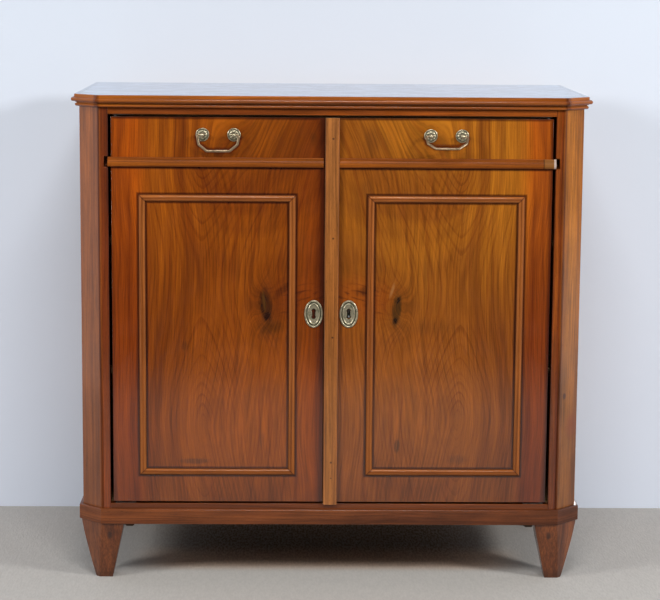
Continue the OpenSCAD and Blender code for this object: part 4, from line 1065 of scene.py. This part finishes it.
# Places, mitres and lengths along a row of corners: place and mitre both go straight from
# each corner to the next, a + (b - a) * t
def alongCorners(corners, mitres, closed=False):
    corners, mitres = np.array(corners, float), np.array(mitres, float)
    places, pushes, spans = [], [], []
    length = 0.0
    for k in range(len(corners) if closed else len(corners) - 1):
        after = (k + 1) % len(corners)
        reach = np.linalg.norm(corners[after] - corners[k])
        steps = max(1, int(round(reach / runPlan["stride"])))
        t = np.linspace(0, 1, steps + 1)[:, None]
        places.append((corners[k] + (corners[after] - corners[k]) * t)[:-1])
        pushes.append((mitres[k] + (mitres[after] - mitres[k]) * t)[:-1])
        marks = length + reach * t[:, 0]
        spans += list(zip(marks[:-1], marks[1:]))
        length += reach + (runPlan["jump"] if closed else 0.0)
    if not closed:
        places.append(corners[-1:])
        pushes.append(mitres[-1:])
    return np.vstack(places), np.vstack(pushes), spans, length


# A moulding along the plan's corners: point = place + reach * mitre, at the profile's height,
# which wanders by a fraction of a millimetre away from the carcase
def mouldedRun(name, node, corners, mitres, profile, materials, wander=0.12, endGrain=()):
    places, pushes, spans, length = alongCorners(corners, mitres)
    level = np.zeros((len(places), 1))
    points = carried(np.hstack([places, level]), np.hstack([pushes, level]),
                     np.tile(upright, (len(places), 1)), profile)
    run = np.linspace(0, length, len(places))[:, None]
    sway = np.sin(run / 61.0 + profile[None, :, 1] * 0.05) * np.sin(run / 23.0 + 1.3)
    inner = profile[:, 0] < 1.0
    points[..., 2] += np.where(inner[None, :], 0.0, sway * wander * 0.5)
    points[..., 2] = np.minimum(points[..., 2], boxMm(node)[1][2])
    mesh = gridMesh(name, points, spans=spans, around=roundLength(profile))
    capMaterial(mesh, endGrain)
    return placePiece(name, mesh, node, materials)


frontCorners = [(-cantX, frontY), (cantX, frontY)]
frontMitres = [(-turn, -1.0), (turn, -1.0)]


# Corners and mitres of the canted and side stretch on one side, -1 left or 1 right
def sideCorners(side):
    corners = [(side * cantX, frontY), (side * halfWidth, cantY), (side * halfWidth, backY)]
    mitres = [(side * turn, -1.0), (side * 1.0, -turn), (side * 1.0, 0.0)]
    return corners, mitres


# Mouldings of the top's edge, the bead under it and the base: reaches past the carcase,
# heights and radii in millimetres
topEdge = {"lip": 10.0, "arris": 1.0, "beadRadius": 4.5, "beadRise": 6.5, "hollow": 1.9}
smallBead = {"radius": 3.4}
baseBoard = {"reach": 8.0, "round": 3.0, "lower": 1.6}


# Flat lip with a rounded top arris, fat bead, and a small hollow under it
def topEdgeProfile(plan):
    low, high = boxMm("top_edge_front")
    z0, z1 = low[2], high[2]
    radius, lip, arris = plan["beadRadius"], plan["lip"], plan["arris"]
    beadZ = z0 + plan["beadRise"]
    beadX = frontY - low[1] - radius
    return outline(
        [0, z0], [0, z1], [lip * 0.5, z1], arc(lip - arris, z1 - arris, arris, 90, 0, 4),
        [lip, beadZ + radius + 0.4], [lip + 0.4, beadZ + radius],
        arc(beadX, beadZ, radius, 90, -84, 15), [lip + 0.6, beadZ - radius + 0.1],
        arc(lip, z0, plan["hollow"], 80, 178, 6), [lip * 0.3, z0])


# Thin strip with a small bead along its lower edge
def smallBeadProfile(plan):
    low, high = boxMm("frieze_bead_front")
    z0, z1 = low[2], high[2]
    radius = plan["radius"]
    beadX = frontY - low[1] - radius
    return outline([0, z0], [0, z1], [beadX - 0.4, z1], [beadX - 0.2, z0 + 2 * radius + 0.2],
                   arc(beadX, z0 + radius, radius, 84, -84, 11), [beadX - 0.6, z0])


# Flat board with a rounded upper arris and a slightly worn lower one
def baseProfile(plan):
    low, high = boxMm("base_board_front")
    z0, z1 = low[2], high[2]
    reach, top, lower = plan["reach"], plan["round"], plan["lower"]
    return outline([0, z0], [0, z1], [reach * 0.3, z1], arc(reach - top, z1 - top, top, 90, 0, 6),
                   [reach, z0 + (z1 - z0) * 0.5],
                   arc(reach - lower, z0 + lower, lower, 0, -90, 4), [reach * 0.3, z0])


edgeMaterials = [woods["edgeWood"], woods["endGrain"]]
baseMaterials = [woods["baseWood"], woods["endGrain"]]
for stem, profile, materials in (("top_edge", topEdgeProfile(topEdge), edgeMaterials),
                                 ("frieze_bead", smallBeadProfile(smallBead), edgeMaterials),
                                 ("base_board", baseProfile(baseBoard), baseMaterials)):
    mouldedRun(stem + "_front_run", stem + "_front", frontCorners, frontMitres, profile,
               materials)
    for side, word in ((-1, "left"), (1, "right")):
        corners, mitres = sideCorners(side)
        mouldedRun(stem + "_" + word + "_run", stem + "_" + word, corners, mitres, profile,
                   materials, endGrain=(1,))
print("plan mouldings made")


# Divider moulding: the band's share of the height, the step's and the band's edges' share of
# the reach, and the arris in millimetres
dividerPlan = {"band": 0.68, "step": 0.45, "edge": 0.70, "arris": 0.9}


# A rounded band, whose reach is proud * (1 - (1 - edge) * s^2) with s from -1 to 1 up its
# height, and a thinner step above it with a soft top arris
def dividerProfile(z0, z1, proud, plan):
    band = z0 + (z1 - z0) * plan["band"]
    back, arris = proud * plan["step"], plan["arris"]
    swell = np.linspace(-1, 1, 11)[:, None]
    bulge = proud * (1 - (1 - plan["edge"]) * swell ** 2)
    face = np.hstack([bulge, z0 + (band - z0) * (swell + 1) / 2])[::-1]
    return outline([0, z0], [0, z1], arc(back - arris, z1 - arris, arris, 90, 0, 4),
                   [back, band + 0.5], face)


for word in ("left", "right"):
    node = word + "_divider"
    low, high = boxMm(node)
    profile = dividerProfile(low[2], high[2], frontY - low[1], dividerPlan)
    mouldedRun(node + "_run", node, [(low[0], frontY), (high[0], frontY)],
               [(0.0, -1.0), (0.0, -1.0)], profile, [woods["dividerWood"], woods["endGrain"]],
               wander=0.2, endGrain=(0, 1))

# Panel moulding: width of the quirks, their height off the door, and depth of the groove, in
# millimetres
panelPlan = {"quirk": 1.6, "quirkProud": 1.5, "groove": 0.5}


# Low half round between two narrow quirks: base + (proud - base) * sqrt(1 - s^2), with s from
# -1 to 1 across it, less a groove that is deepest at s = 0.1 and fades as a bell curve
def panelProfile(width, proud, plan):
    quirk, base = plan["quirk"], plan["quirkProud"]
    half = width / 2 - quirk
    swell = np.linspace(-1, 1, 21)[:, None]
    crown = base + (proud - base) * np.sqrt(np.clip(1 - (swell * 0.985) ** 2, 0, 1))
    crown = crown - plan["groove"] * np.exp(-((swell - 0.1) / 0.16) ** 2)
    hump = np.hstack([width / 2 + half * swell, crown])
    return outline([0, 0], [0.2, base], [quirk, base], hump, [width - quirk, base],
                   [width - 0.2, base], [width, 0])


# The mitred frame: place = corner, first axis = inward mitre, second axis = towards the front
def panelFrame(word):
    node = word + "_panel_moulding"
    low, high = boxMm(node)
    profile = panelProfile(panelWidth, high[1] - low[1], panelPlan)
    corners = [(low[0], low[2]), (high[0], low[2]), (high[0], high[2]), (low[0], high[2])]
    inward = [(1, 1), (-1, 1), (-1, -1), (1, -1)]
    places, pushes, spans, _ = alongCorners(corners, inward, closed=True)
    spread = np.stack([places[:, 0], np.full(len(places), frontY), places[:, 1]], -1)
    mitre = np.stack([pushes[:, 0], np.zeros(len(pushes)), pushes[:, 1]], -1)
    points = carried(spread, mitre, np.tile(forward, (len(places), 1)), profile)
    mesh = gridMesh(node + "_frame", points, closedRows=True, spans=spans,
                    around=roundLength(profile))
    return placePiece(node + "_frame", mesh, node, [woods["frameWood"]])


for word in ("left", "right"):
    panelFrame(word)
print("door mouldings made")

# Centre strip: radius of its long edges and height of its crown, in millimetres
stripPlan = {"round": 3.0, "crown": 0.35}


# A profile carried straight up: two rounded edges, and a face at flat + crown * (1 - s^2) off
# the door, with s from 1 to -1 across it
def centreStrip(plan):
    low, high = boxMm("centre_strip")
    half, proud, edge = high[0], high[1] - low[1], plan["round"]
    flat = proud - plan["crown"]
    swell = np.linspace(1, -1, 9)[:, None]
    face = np.hstack([swell * (half - edge), flat + plan["crown"] * (1 - swell ** 2)])
    profile = outline([-half, 0], [half, 0], arc(half - edge, flat - edge, edge, 0, 80, 5), face,
                      arc(edge - half, flat - edge, edge, 100, 180, 5))
    levels = np.linspace(low[2], high[2], 30)
    places = np.stack([0 * levels, 0 * levels + frontY, levels], -1)
    sideways = np.tile([1.0, 0.0, 0.0], (len(levels), 1))
    points = carried(places, sideways, np.tile(forward, (len(levels), 1)), profile)
    spans = list(zip(levels[:-1], levels[1:]))
    mesh = gridMesh("centre_strip_run", points, spans=spans, around=roundLength(profile))
    capMaterial(mesh)
    return placePiece("centre_strip_run", mesh, "centre_strip",
                      [woods["stripWood"], woods["endGrain"]])


centreStrip(stripPlan)

# Feet, in millimetres: five corners in plan that draw in towards the floor, with rounded
# arrises
footPlan = {"side": 98.0, "reach": 4.0, "taperOut": 32.0, "taperIn": 28.0, "cantLow": 9.0,
            "swell": 1.15, "arris": 2.4, "levels": 30}


# At level t, 0 at the top and 1 at the floor, the outer faces lie in by taperOut * t^swell
# and the inner ones by taperIn * t; each corner q is a curve (1-s)^2 a + 2s(1-s) q + s^2 b
# between the points a and b that lie an arris away on its two sides
def foot(word, front, side):
    plan = footPlan
    node = "foot_" + ("front_" if front else "rear_") + word
    height = boxMm("base_board_front")[0][2]
    topLeg = (halfWidth - cantX + plan["reach"] * (1 - turn)) if front else plan["cantLow"] / 2
    lowLeg = plan["cantLow"] if front else plan["cantLow"] / 2
    t = np.linspace(0, 1, plan["levels"])
    s = plan["taperOut"] * t ** plan["swell"]
    i = plan["side"] - plan["taperIn"] * t
    leg = topLeg + (lowLeg - topLeg) * t
    ring = np.stack([np.stack([i, s], -1), np.stack([s + leg, s], -1),
                     np.stack([s, s + leg], -1), np.stack([s, i], -1),
                     np.stack([i, i], -1)], 1)
    before, after = np.roll(ring, 1, axis=1), np.roll(ring, -1, axis=1)

    def towards(other):
        line = other - ring
        size = np.linalg.norm(line, axis=-1, keepdims=True)
        return ring + line / size * np.minimum(plan["arris"], size * 0.4)

    a, b = towards(before), towards(after)
    share = np.linspace(0, 1, 5)[None, None, :, None]
    rounded = ((1 - share) ** 2 * a[:, :, None] + 2 * share * (1 - share) * ring[:, :, None]
               + share ** 2 * b[:, :, None])
    rounded = rounded.reshape(len(t), -1, 2)
    x = side * (halfWidth + plan["reach"] - rounded[..., 0])
    y = (frontY - plan["reach"] + rounded[..., 1]) if front else (backY - rounded[..., 1])
    z = np.broadcast_to((height * (1 - t))[:, None], x.shape)
    mesh = gridMesh(node + "_leg", np.stack([x, y, z], -1))
    return placePiece(node + "_leg", mesh, node, [woods["footWood"]])


for side, word in ((-1, "left"), (1, "right")):
    for front in (True, False):
        foot(word, front, side)
print("strip and feet made")

# Brass furniture

keyPlan = {"endRadius": 4.4, "waist": 5.8, "span": 12.6}
pinSection = np.array([(1.5, -0.6), (1.5, 0.3), (1.2, 0.8), (0.7, 1.15), (0.1, 1.3)])
platePlan = {"halfWide": 20.5, "halfHigh": 30.5, "around": 256, "ribs": 64, "rib": 0.16,
             "ribAt": 1.9, "ribSpread": 1.2, "pinRise": 28.7, "pinOut": 2.1}
# The plate's section: distance in from its outer edge, height off the door, how hollow it is
plateSection = np.array([
    (0.0, 0.0, 0.7), (0.0, 0.7, 0.4), (0.3, 1.4, 0.05), (0.9, 2.0, 0.0), (1.9, 2.35, 0.0),
    (2.9, 2.2, 0.0), (3.7, 1.7, 0.1), (4.2, 1.0, 0.7), (4.8, 0.7, 1.0), (5.7, 0.7, 1.0),
    (6.2, 1.1, 0.8), (6.7, 2.0, 0.1), (7.5, 2.6, 0.0), (8.4, 2.7, 0.0), (9.2, 2.3, 0.1),
    (9.9, 1.7, 0.55), (10.7, 1.55, 0.55), (11.6, 1.8, 0.35)])
# From its last oval to the keyhole and down its wall: share of the way, height, how hollow
keySection = ((0.2, 2.1, 0.1), (0.4, 2.35, 0.0), (0.58, 2.4, 0.0), (0.74, 2.1, 0.45),
              (0.84, 1.7, 0.95), (0.97, 1.4, 1.0), (1.0, 1.2, 1.0), (1.0, 0.6, 1.0),
              (1.0, 0.0, 1.0))


# Distance from the keyhole's middle to its edge in the direction of an angle: a slot between
# two round ends, so the further of the slot's side and the round end's far side
def keyholeReach(angle, plan):
    waist, radius, up = plan["waist"] / 2, plan["endRadius"], plan["span"] / 2
    cosine, sine = np.abs(np.cos(angle)), np.abs(np.sin(angle))
    slot = waist / np.maximum(cosine, 1e-6)
    joint = up - math.sqrt(radius ** 2 - waist ** 2)
    slot = np.where(slot * sine > joint, 0.0, slot)
    inside = radius ** 2 - (up * cosine) ** 2
    end = np.where(inside > 0, up * sine + np.sqrt(np.maximum(inside, 0)), 0.0)
    return np.maximum(slot, end)


# Rings from the outer oval inwards: an oval 1 / sqrt((cosine / a)^2 + (sine / b)^2), its half
# sizes a and b less the distance in, blended into the keyhole's outline, then down the
# keyhole's wall and back along the door; two round pin heads on the outer band
def escutcheon(word):
    node = word + "_escutcheon"
    cx, cz = middleMm(node)
    angle = np.linspace(0, 2 * math.pi, platePlan["around"], endpoint=False)

    def oval(inset):
        a, b = platePlan["halfWide"] - inset, platePlan["halfHigh"] - inset
        return 1 / np.sqrt((np.cos(angle) / a) ** 2 + (np.sin(angle) / b) ** 2)

    # fine ribs run across the outer band
    ribs = platePlan["rib"] * np.cos(angle * platePlan["ribs"])
    band = np.exp(-((plateSection[:, 0] - platePlan["ribAt"]) / platePlan["ribSpread"]) ** 2)
    rings = [(oval(inset), up + ribs * share, deep)
             for (inset, up, deep), share in zip(plateSection, band)]
    hole = keyholeReach(angle, keyPlan)
    last = oval(plateSection[-1, 0])
    rings += [(last + (hole - last) * share, up, deep) for share, up, deep in keySection]
    reach, height, deep = (np.array([np.broadcast_to(ring[k], angle.shape) for ring in rings])
                           for k in range(3))
    points = np.stack([cx + reach * np.cos(angle), frontY - height, cz + reach * np.sin(angle)],
                      -1)
    skins = [skin(points, closedRows=True, hollow=deep)]
    for rise in (-platePlan["pinRise"], platePlan["pinRise"]):
        place = (cx, frontY - platePlan["pinOut"], cz + rise)
        skins.append(turned(pinSection, place, forward, sides=16))
    mesh = meshOf(node + "_plate", skins, sharp=50.0)
    return placePiece(node + "_plate", mesh, node, [metals["agedBrass"]])


rosettePlan = {"petals": 8, "petalDip": 1.5, "around": 96}
# Section of a rosette: radius, height off the door, how far the petals shape it, hollowness
rosetteSection = np.array([
    (14.2, 0.0, 0.0, 0.6), (14.5, 0.5, 0.0, 0.3), (14.4, 1.3, 0.0, 0.0), (13.8, 2.0, 0.0, 0.0),
    (13.0, 2.2, 0.0, 0.0), (12.2, 1.8, 0.0, 0.2), (11.7, 1.1, 0.0, 0.9), (11.1, 1.1, 0.1, 0.9),
    (10.4, 1.9, 0.6, 0.2), (9.2, 2.9, 0.9, 0.0), (8.0, 3.5, 1.0, 0.0), (6.8, 3.6, 0.9, 0.1),
    (5.9, 3.1, 0.6, 0.5), (5.2, 2.7, 0.3, 0.9), (4.6, 3.2, 0.0, 0.5), (4.0, 4.2, 0.0, 0.0),
    (3.4, 4.7, 0.0, 0.0), (2.6, 4.8, 0.0, 0.3), (2.6, 0.0, 0.0, 1.0)])


# Rings whose height is h - petalDip * petal * dip, where dip = 1 - |cos(n * angle / 2)|^0.6 is
# a narrow valley between each two petals
def rosetteSkin(cx, cz):
    angle = np.linspace(0, 2 * math.pi, rosettePlan["around"], endpoint=False)
    dip = 1 - np.abs(np.cos(angle * rosettePlan["petals"] / 2)) ** 0.6
    radius, height, petal, deep = (rosetteSection[:, k, None] + 0 * angle for k in range(4))
    height = height - petal * rosettePlan["petalDip"] * dip
    points = np.stack([cx + radius * np.cos(angle), frontY - height,
                       cz + radius * np.sin(angle)], -1)
    return skin(points, closedRows=True, hollow=np.clip(deep + petal * dip * 0.9, 0, 1))


# A turned shape: point = centre + radius * (cosine * first + sine * second) + height * axis,
# where first and second stand across the axis; rows follow the profile, columns go round
def turned(profile, centre, axis, sides=40):
    axis = np.array(axis, float)
    helper = np.array([0.0, 0.0, 1.0]) if abs(axis[2]) < 0.9 else np.array([1.0, 0.0, 0.0])
    first = np.cross(axis, helper)
    first /= np.linalg.norm(first)
    second = np.cross(axis, first)
    angle = np.linspace(0, 2 * math.pi, sides, endpoint=False)
    circle = np.cos(angle)[:, None] * first + np.sin(angle)[:, None] * second
    return skin(np.array(centre)[None, None, :] + profile[:, 0, None, None] * circle[None]
                + profile[:, 1, None, None] * axis)


handlePlan = {"span": 68.0, "out": 13.0, "ball": 4.8, "neck": 2.5, "nutWide": 11.0,
              "nutThick": 4.0, "doorThick": 22.0}


# A handle post: shank through the door, a collar on the rosette, a waist, and a ball with a
# small flat button on its front
def postProfile(plan):
    out, ball, neck = plan["out"], plan["ball"], plan["neck"]
    back = -(plan["doorThick"] + plan["nutThick"] + 1.0)
    head = arc(0, 0, ball, -58, 66, 15)
    head = np.stack([head[:, 0], head[:, 1] + out], -1)
    return outline([0.2, back], [neck - 0.5, back], [neck, back + 0.6], [neck, 4.4],
                   [3.6, 4.5], [3.9, 5.0], [3.6, 5.6], [2.7, 6.2], [2.5, 7.4], head,
                   [1.5, out + ball - 0.3], [1.2, out + ball - 0.05], [0.2, out + ball])


# Two rosettes, and two posts with their square nuts behind the door
def handleFurniture(word):
    cx, cz = middleMm(word + "_rosettes")
    rosettes, posts = [], []
    nut, thick = handlePlan["nutWide"] / 2, handlePlan["nutThick"]
    square = np.clip(arc(0, 0, nut * 1.2, 0, 360, 33)[:-1], -nut, nut)
    hole = arc(0, 0, handlePlan["neck"] + 0.05, 0, 360, 33)[:-1]
    rings = [(square, 0.0), (square, thick - 0.6), (square * 0.9, thick), (hole, thick),
             (hole, 0.0)]
    y0 = frontY + handlePlan["doorThick"]
    for x in (cx - handlePlan["span"] / 2, cx + handlePlan["span"] / 2):
        rosettes.append(rosetteSkin(x, cz))
        posts.append(turned(postProfile(handlePlan), (x, frontY, cz), forward))
        grid = [np.stack([x + r[:, 0], y0 + up + 0 * r[:, 0], cz + r[:, 1]], -1)
                for r, up in rings]
        posts.append(skin(np.array(grid), closedRows=True))
    for name, skins in ((word + "_rosettes", rosettes), (word + "_handle_posts", posts)):
        placePiece(name + "_cast", meshOf(name + "_cast", skins, sharp=45.0), name,
                   [metals["agedBrass"]])


bailPlan = {"rod": 2.9, "flat": 0.79, "swell": 0.15, "swellReach": 14.0, "pin": 1.8,
            "arm": 45.5, "shoulderIn": 4.0, "shoulderUp": 14.0, "drop": 34.5, "grip": 24.5,
            "bend": 4.5, "inner": 28.9, "rightTilt": 44.0, "stride": 2.5, "sides": 24}


# Straight stretches between corners that are rounded by arcs of one radius: an arc's middle
# lies on the corner's bisector, at bend / sin(half the opening)
def roundedLine(corners, plan):
    line = [corners[0]]
    for k in range(1, len(corners) - 1):
        before = corners[k - 1] - corners[k]
        after = corners[k + 1] - corners[k]
        before /= np.linalg.norm(before)
        after /= np.linalg.norm(after)
        opening = math.acos(float(np.dot(before, after)))
        back = plan["bend"] / math.tan(opening / 2)
        a, b = corners[k] + before * back, corners[k] + after * back
        middle = corners[k] + (before + after) / np.linalg.norm(before + after) * (
            plan["bend"] / math.sin(opening / 2))
        start = math.atan2(*(a - middle)[::-1])
        sweep = (math.atan2(*(b - middle)[::-1]) - start + math.pi) % (2 * math.pi) - math.pi
        angles = start + sweep * np.linspace(0, 1, 9)
        line += list(middle + plan["bend"] * np.stack([np.cos(angles), np.sin(angles)], -1))
    line.append(corners[-1])
    dense = [corners[:1]]
    for a, b in zip(line[:-1], line[1:]):
        count = max(1, int(np.linalg.norm(b - a) / plan["stride"]))
        dense.append(a + (b - a) * np.linspace(0, 1, count + 1)[1:, None])
    return np.vstack(dense)


# The bail's middle line, x across and h up from the pivot line, is tipped out by the tilt:
# place = pivot + x * sideways + h * (0, sine, cosine). Its rod is an oval carried along it, a
# little flat and thickest at the middle of the grip, and thins to a round pin between its
# arms and the posts
def bail(word, tilt):
    plan = bailPlan
    cx, cz = middleMm(word + "_rosettes")
    arm, drop = plan["arm"], plan["drop"]
    half = [(plan["inner"], 0.0), (arm, 0.0),
            (arm - plan["shoulderIn"], plan["shoulderUp"] - drop), (plan["grip"], -drop)]
    line = roundedLine(np.array([(-x, h) for x, h in half] + half[::-1]), plan)
    heading = np.gradient(line, axis=0)
    heading /= np.linalg.norm(heading, axis=1, keepdims=True)
    normal = np.stack([-heading[:, 1], heading[:, 0]], -1)
    spread = np.abs(line[:, 0])
    isPin = (line[:, 1] > -0.01) & (spread < arm - 1.4 * plan["bend"] - 0.1)
    swell = plan["swell"] * (np.exp(-(spread / plan["swellReach"]) ** 2) - 1)
    rod = np.where(isPin, plan["pin"], plan["rod"] + swell)
    angle = np.radians(tilt)
    downwards = np.array([0.0, math.sin(angle), math.cos(angle)])
    pivot = np.array([cx, frontY - handlePlan["out"], cz])
    sideways = np.array([1.0, 0.0, 0.0])
    places = pivot + line[:, :1] * sideways + line[:, 1:] * downwards
    normals = normal[:, :1] * sideways + normal[:, 1:] * downwards
    outwards = np.tile(np.cross(sideways, downwards), (len(line), 1))
    section = arc(0, 0, 1.0, 0, 360, plan["sides"] + 1)[:-1]
    thin = np.where(isPin, rod, rod * plan["flat"])
    points = carried(places, normals * rod[:, None], outwards * thin[:, None], section)
    mesh = gridMesh(word + "_bail_rod", points, sharp=50.0)
    return placePiece(word + "_bail_rod", mesh, word + "_bail", [metals["bailBrass"]])


for word in ("left", "right"):
    escutcheon(word)
    handleFurniture(word)
    bail(word, bailPlan["rightTilt"] if word == "right" else 0.0)
print("brass furniture made")

# Boards, rails, posts and doors: softened copies of their nodes, with the rounding of the
# arrises in millimetres
boardPlans = {
    "postWood": (1.4, ["front_post_left", "rear_stile_left"]),
    "postWoodRight": (1.4, ["front_post_right", "rear_stile_right"]),
    "sideWood": (0.8, ["side_panel_left", "side_panel_right"]),
    "topWood": (0.5, ["top_board"]),
    "railWood": (0.9, ["frieze_rail"]),
    "bottomRailWood": (0.9, ["bottom_rail"]),
    "coreWood": (0.7, ["left_door", "right_door"]),
    "boardWood": (0.9, ["back_boards"]),
    "shelfWood": (1.0, ["bottom_board", "shelf_lower", "shelf_upper", "rear_top_rail",
                        "bearers", "shelf_battens", "door_stops"]),
    "blockWood": (1.2, ["glue_blocks"]),
}
for name, (width, members) in boardPlans.items():
    for node in members:
        softened(node, width, [woods[name], rubbedAndLit[name]])
for word in ("left", "right"):
    softened(word + "_veneer", 0.5, [doorVeneers[word]], shortest=60.0)
print("boards softened")

# Hidden metalwork keeps its CAD shape and takes the metals
metalNodes = {
    "darkIron": ["pivot_pins", "carcase_fixings", "left_pivot_plates", "right_pivot_plates",
                 "left_bolt_covers", "left_screws", "right_screws", "lock_bolt", "top_bolt",
                 "bottom_bolt"],
    "lockIron": ["lock_case"],
    "agedBrass": ["left_keeper"],
}
for name, members in metalNodes.items():
    for node in members:
        nodes[node].data.materials.clear()
        nodes[node].data.materials.append(metals[name])
print("metalwork dressed")


# Floor, wall and lights, in metres

stagePlan = {"floorHalf": 3.2, "floorFront": -2.6, "wallY": 0.40, "wallHigh": 3.0}


# A flat sheet of the stage between four corners
def flatSheet(name, corners, material):
    mesh = bpy.data.meshes.new(name)
    mesh.from_pydata(corners, [], [(0, 1, 2, 3)])
    mesh.materials.append(material)
    sheet = bpy.data.objects.new(name, mesh)
    bpy.context.scene.collection.objects.link(sheet)
    return sheet


# The floor and the wall are seen from the front and are clear from behind, so that views from
# the back and from below look past them
def clearBehind(material, w):
    made = {node.type: node for node in material.node_tree.nodes}
    painted = made["BSDF_PRINCIPLED"].outputs[0]
    clear = w.node("ShaderNodeBsdfTransparent").outputs[0]
    behind = w.node("ShaderNodeNewGeometry").outputs["Backfacing"]
    w.put(made["OUTPUT_MATERIAL"].inputs[0], w.either(behind, painted, clear))
    return material


floorPlan = {"pale": (0.412, 0.399, 0.377), "dark": (0.372, 0.360, 0.342),
             "paintedShadowUnder": (0.36, 0.25, 0.16), "paintedLightUnder": (1.75, 1.40, 1.15)}


# Short pile that leans back, so its tufts are longer towards the wall. Under the cupboard it has
# a painted shadow, and just behind the cupboard's front a painted pool of light lifts that shadow
def makeFloorFinish(plan):
    material, w, shader = startMaterial("floorPaper")
    x, y, z = w.split(placeAlong(w, "z"))
    pile = w.noise(w.joined(w.over(x, 4.5), w.over(y, 17.0), 0.0), detail=2.0)
    tuft = w.noise(w.joined(w.over(x, 13.0), w.over(y, 45.0), 4.0), detail=3.0)
    weave = w.step(w.add(w.times(pile, 0.6), w.times(tuft, 0.4)), 0.35, 0.65)
    shade = w.mix(weave, colour(*plan["dark"]), colour(*plan["pale"]))
    # painted shadow on the floor under the cupboard
    paintedShadowUnder = w.times(w.step(w.size(x), 230.0, 470.0, 1.0, 0.0), w.step(y, -200.0, 60.0),
                   w.step(y, 230.0, 330.0, 1.0, 0.0), w.step(pile, 0.35, 0.65, 1.0, 0.45))
    shade = dim(w, paintedShadowUnder, shade, plan["paintedShadowUnder"])
    # painted light in that shadow, just behind the cupboard's front
    paintedLightUnder = w.times(w.step(w.size(x), 330.0, 470.0, 1.0, 0.0), w.step(y, -185.0, -110.0),
                        w.step(y, -60.0, 60.0, 1.0, 0.0))
    shade = dim(w, paintedLightUnder, shade, plan["paintedLightUnder"])
    w.put(shader["Base Color"], shade)
    w.put(shader["Normal"], w.bump(pile, 0.25, 0.003))
    shader["Roughness"].default_value = 0.9
    return clearBehind(material, w)


wallPlan = {"low": (0.66, 0.72, 0.83), "high": (0.55, 0.61, 0.70),
            "mirrored": (0.915, 0.98, 1.05)}


# Pale blue paint, a little uneven, with painted shading that makes it darker upwards, and
# slightly cooler in reflections
def makeWallFinish(plan):
    material, w, shader = startMaterial("wallPaint")
    place = placeAlong(w, "z")
    x, y, z = w.split(place)
    rise = w.step(z, 0.0, 1400.0)
    cast = w.noise(w.scaled(place, (1 / 900, 1 / 900, 1 / 900)), detail=1.0)
    shade = w.mix(w.add(w.times(rise, 0.85), w.times(cast, 0.15)), colour(*plan["low"]),
                  colour(*plan["high"]))
    mirrored = w.node("ShaderNodeLightPath").outputs["Is Glossy Ray"]
    shade = dim(w, mirrored, shade, plan["mirrored"])
    w.put(shader["Base Color"], shade)
    shader["Roughness"].default_value = 0.9
    return clearBehind(material, w)


def makeStage(plan):
    half, front, wallY, high = (plan[k] for k in ("floorHalf", "floorFront", "wallY", "wallHigh"))
    floor = flatSheet("floor", [(-half, front, 0), (half, front, 0), (half, half, 0),
                                (-half, half, 0)], makeFloorFinish(floorPlan))
    wall = flatSheet("wall", [(-half, wallY, 0), (half, wallY, 0), (half, wallY, high),
                              (-half, wallY, high)], makeWallFinish(wallPlan))
    return floor, wall


# Lamps: place and size in metres, power in watts, colour, and the place each looks at
lampPlans = {
    "lampLeft": ((-3.0, -2.2, 2.1), (0.9, 0.9), 78.0, (1.0, 0.98, 0.96), (0, 0, 0.5)),
    "lampRight": ((3.0, -2.2, 2.1), (0.6, 0.6), 95.0, (1.0, 0.98, 0.96), (0, 0, 0.5)),
    "lampFront": ((0.1, -2.6, 3.2), (1.2, 0.9), 72.0, (1.0, 0.98, 0.96), (0, 0, 0.5)),
    "sideLeft": ((-2.6, -0.5, 1.0), (2.0, 2.0), 9.0, (0.95, 0.98, 1.0), (0, -0.3, 0.7)),
    "sideRight": ((2.6, -0.5, 1.0), (2.0, 2.0), 9.0, (1.0, 0.98, 0.95), (0, -0.3, 0.7)),
    "lampBack": ((0.4, 3.4, 0.75), (1.6, 0.5), 60.0, (1.0, 0.98, 0.96), (0, 0.3, 0.5)),
}


# The lamp at the back shines through the floor and the wall and doesn't light them
def pastTheStage(lamp, sheets):
    for role in ("receiver", "blocker"):
        skipped = bpy.data.collections.new(role + "_sheets")
        setattr(lamp.light_linking, role + "_collection", skipped)
        for sheet in sheets:
            skipped.objects.link(sheet)
        for member in skipped.collection_objects:
            member.light_linking.link_state = "EXCLUDE"


def makeLamps(plans, sheets):
    for name, (place, size, power, glow, target) in plans.items():
        data = bpy.data.lights.new(name, "AREA")
        data.shape = "RECTANGLE"
        data.size, data.size_y = size
        data.energy = power
        data.color = glow
        lamp = bpy.data.objects.new(name, data)
        bpy.context.scene.collection.objects.link(lamp)
        lamp.location = place
        aim = Vector(target) - Vector(place)
        lamp.rotation_euler = aim.to_track_quat("-Z", "Y").to_euler()
        lamp.visible_camera = False
        if name == "lampBack":
            pastTheStage(lamp, sheets)


worldPlan = {"shown": (0.72, 0.77, 0.86), "felt": (0.075, 0.078, 0.084),
             "mirrored": (0.03, 0.03, 0.032)}


# The world is dim for the light it gives, darker in reflections and pale where the camera
# sees it
def makeWorld(plan):
    world = bpy.data.worlds.new("room")
    bpy.context.scene.world = world
    world.use_nodes = True
    tree = world.node_tree
    tree.nodes.clear()
    w = Wiring(tree)
    path = w.node("ShaderNodeLightPath").outputs

    def glow(name):
        made = w.node("ShaderNodeBackground")
        made.inputs[0].default_value = colour(*plan[name])
        return made.outputs[0]

    unseen = w.either(path["Is Glossy Ray"], glow("felt"), glow("mirrored"))
    every = w.either(path["Is Camera Ray"], unseen, glow("shown"))
    w.put(w.node("ShaderNodeOutputWorld").inputs[0], every)


stageSheets = makeStage(stagePlan)
makeLamps(lampPlans, stageSheets)
makeWorld(worldPlan)
print("stage, lamps and world made")
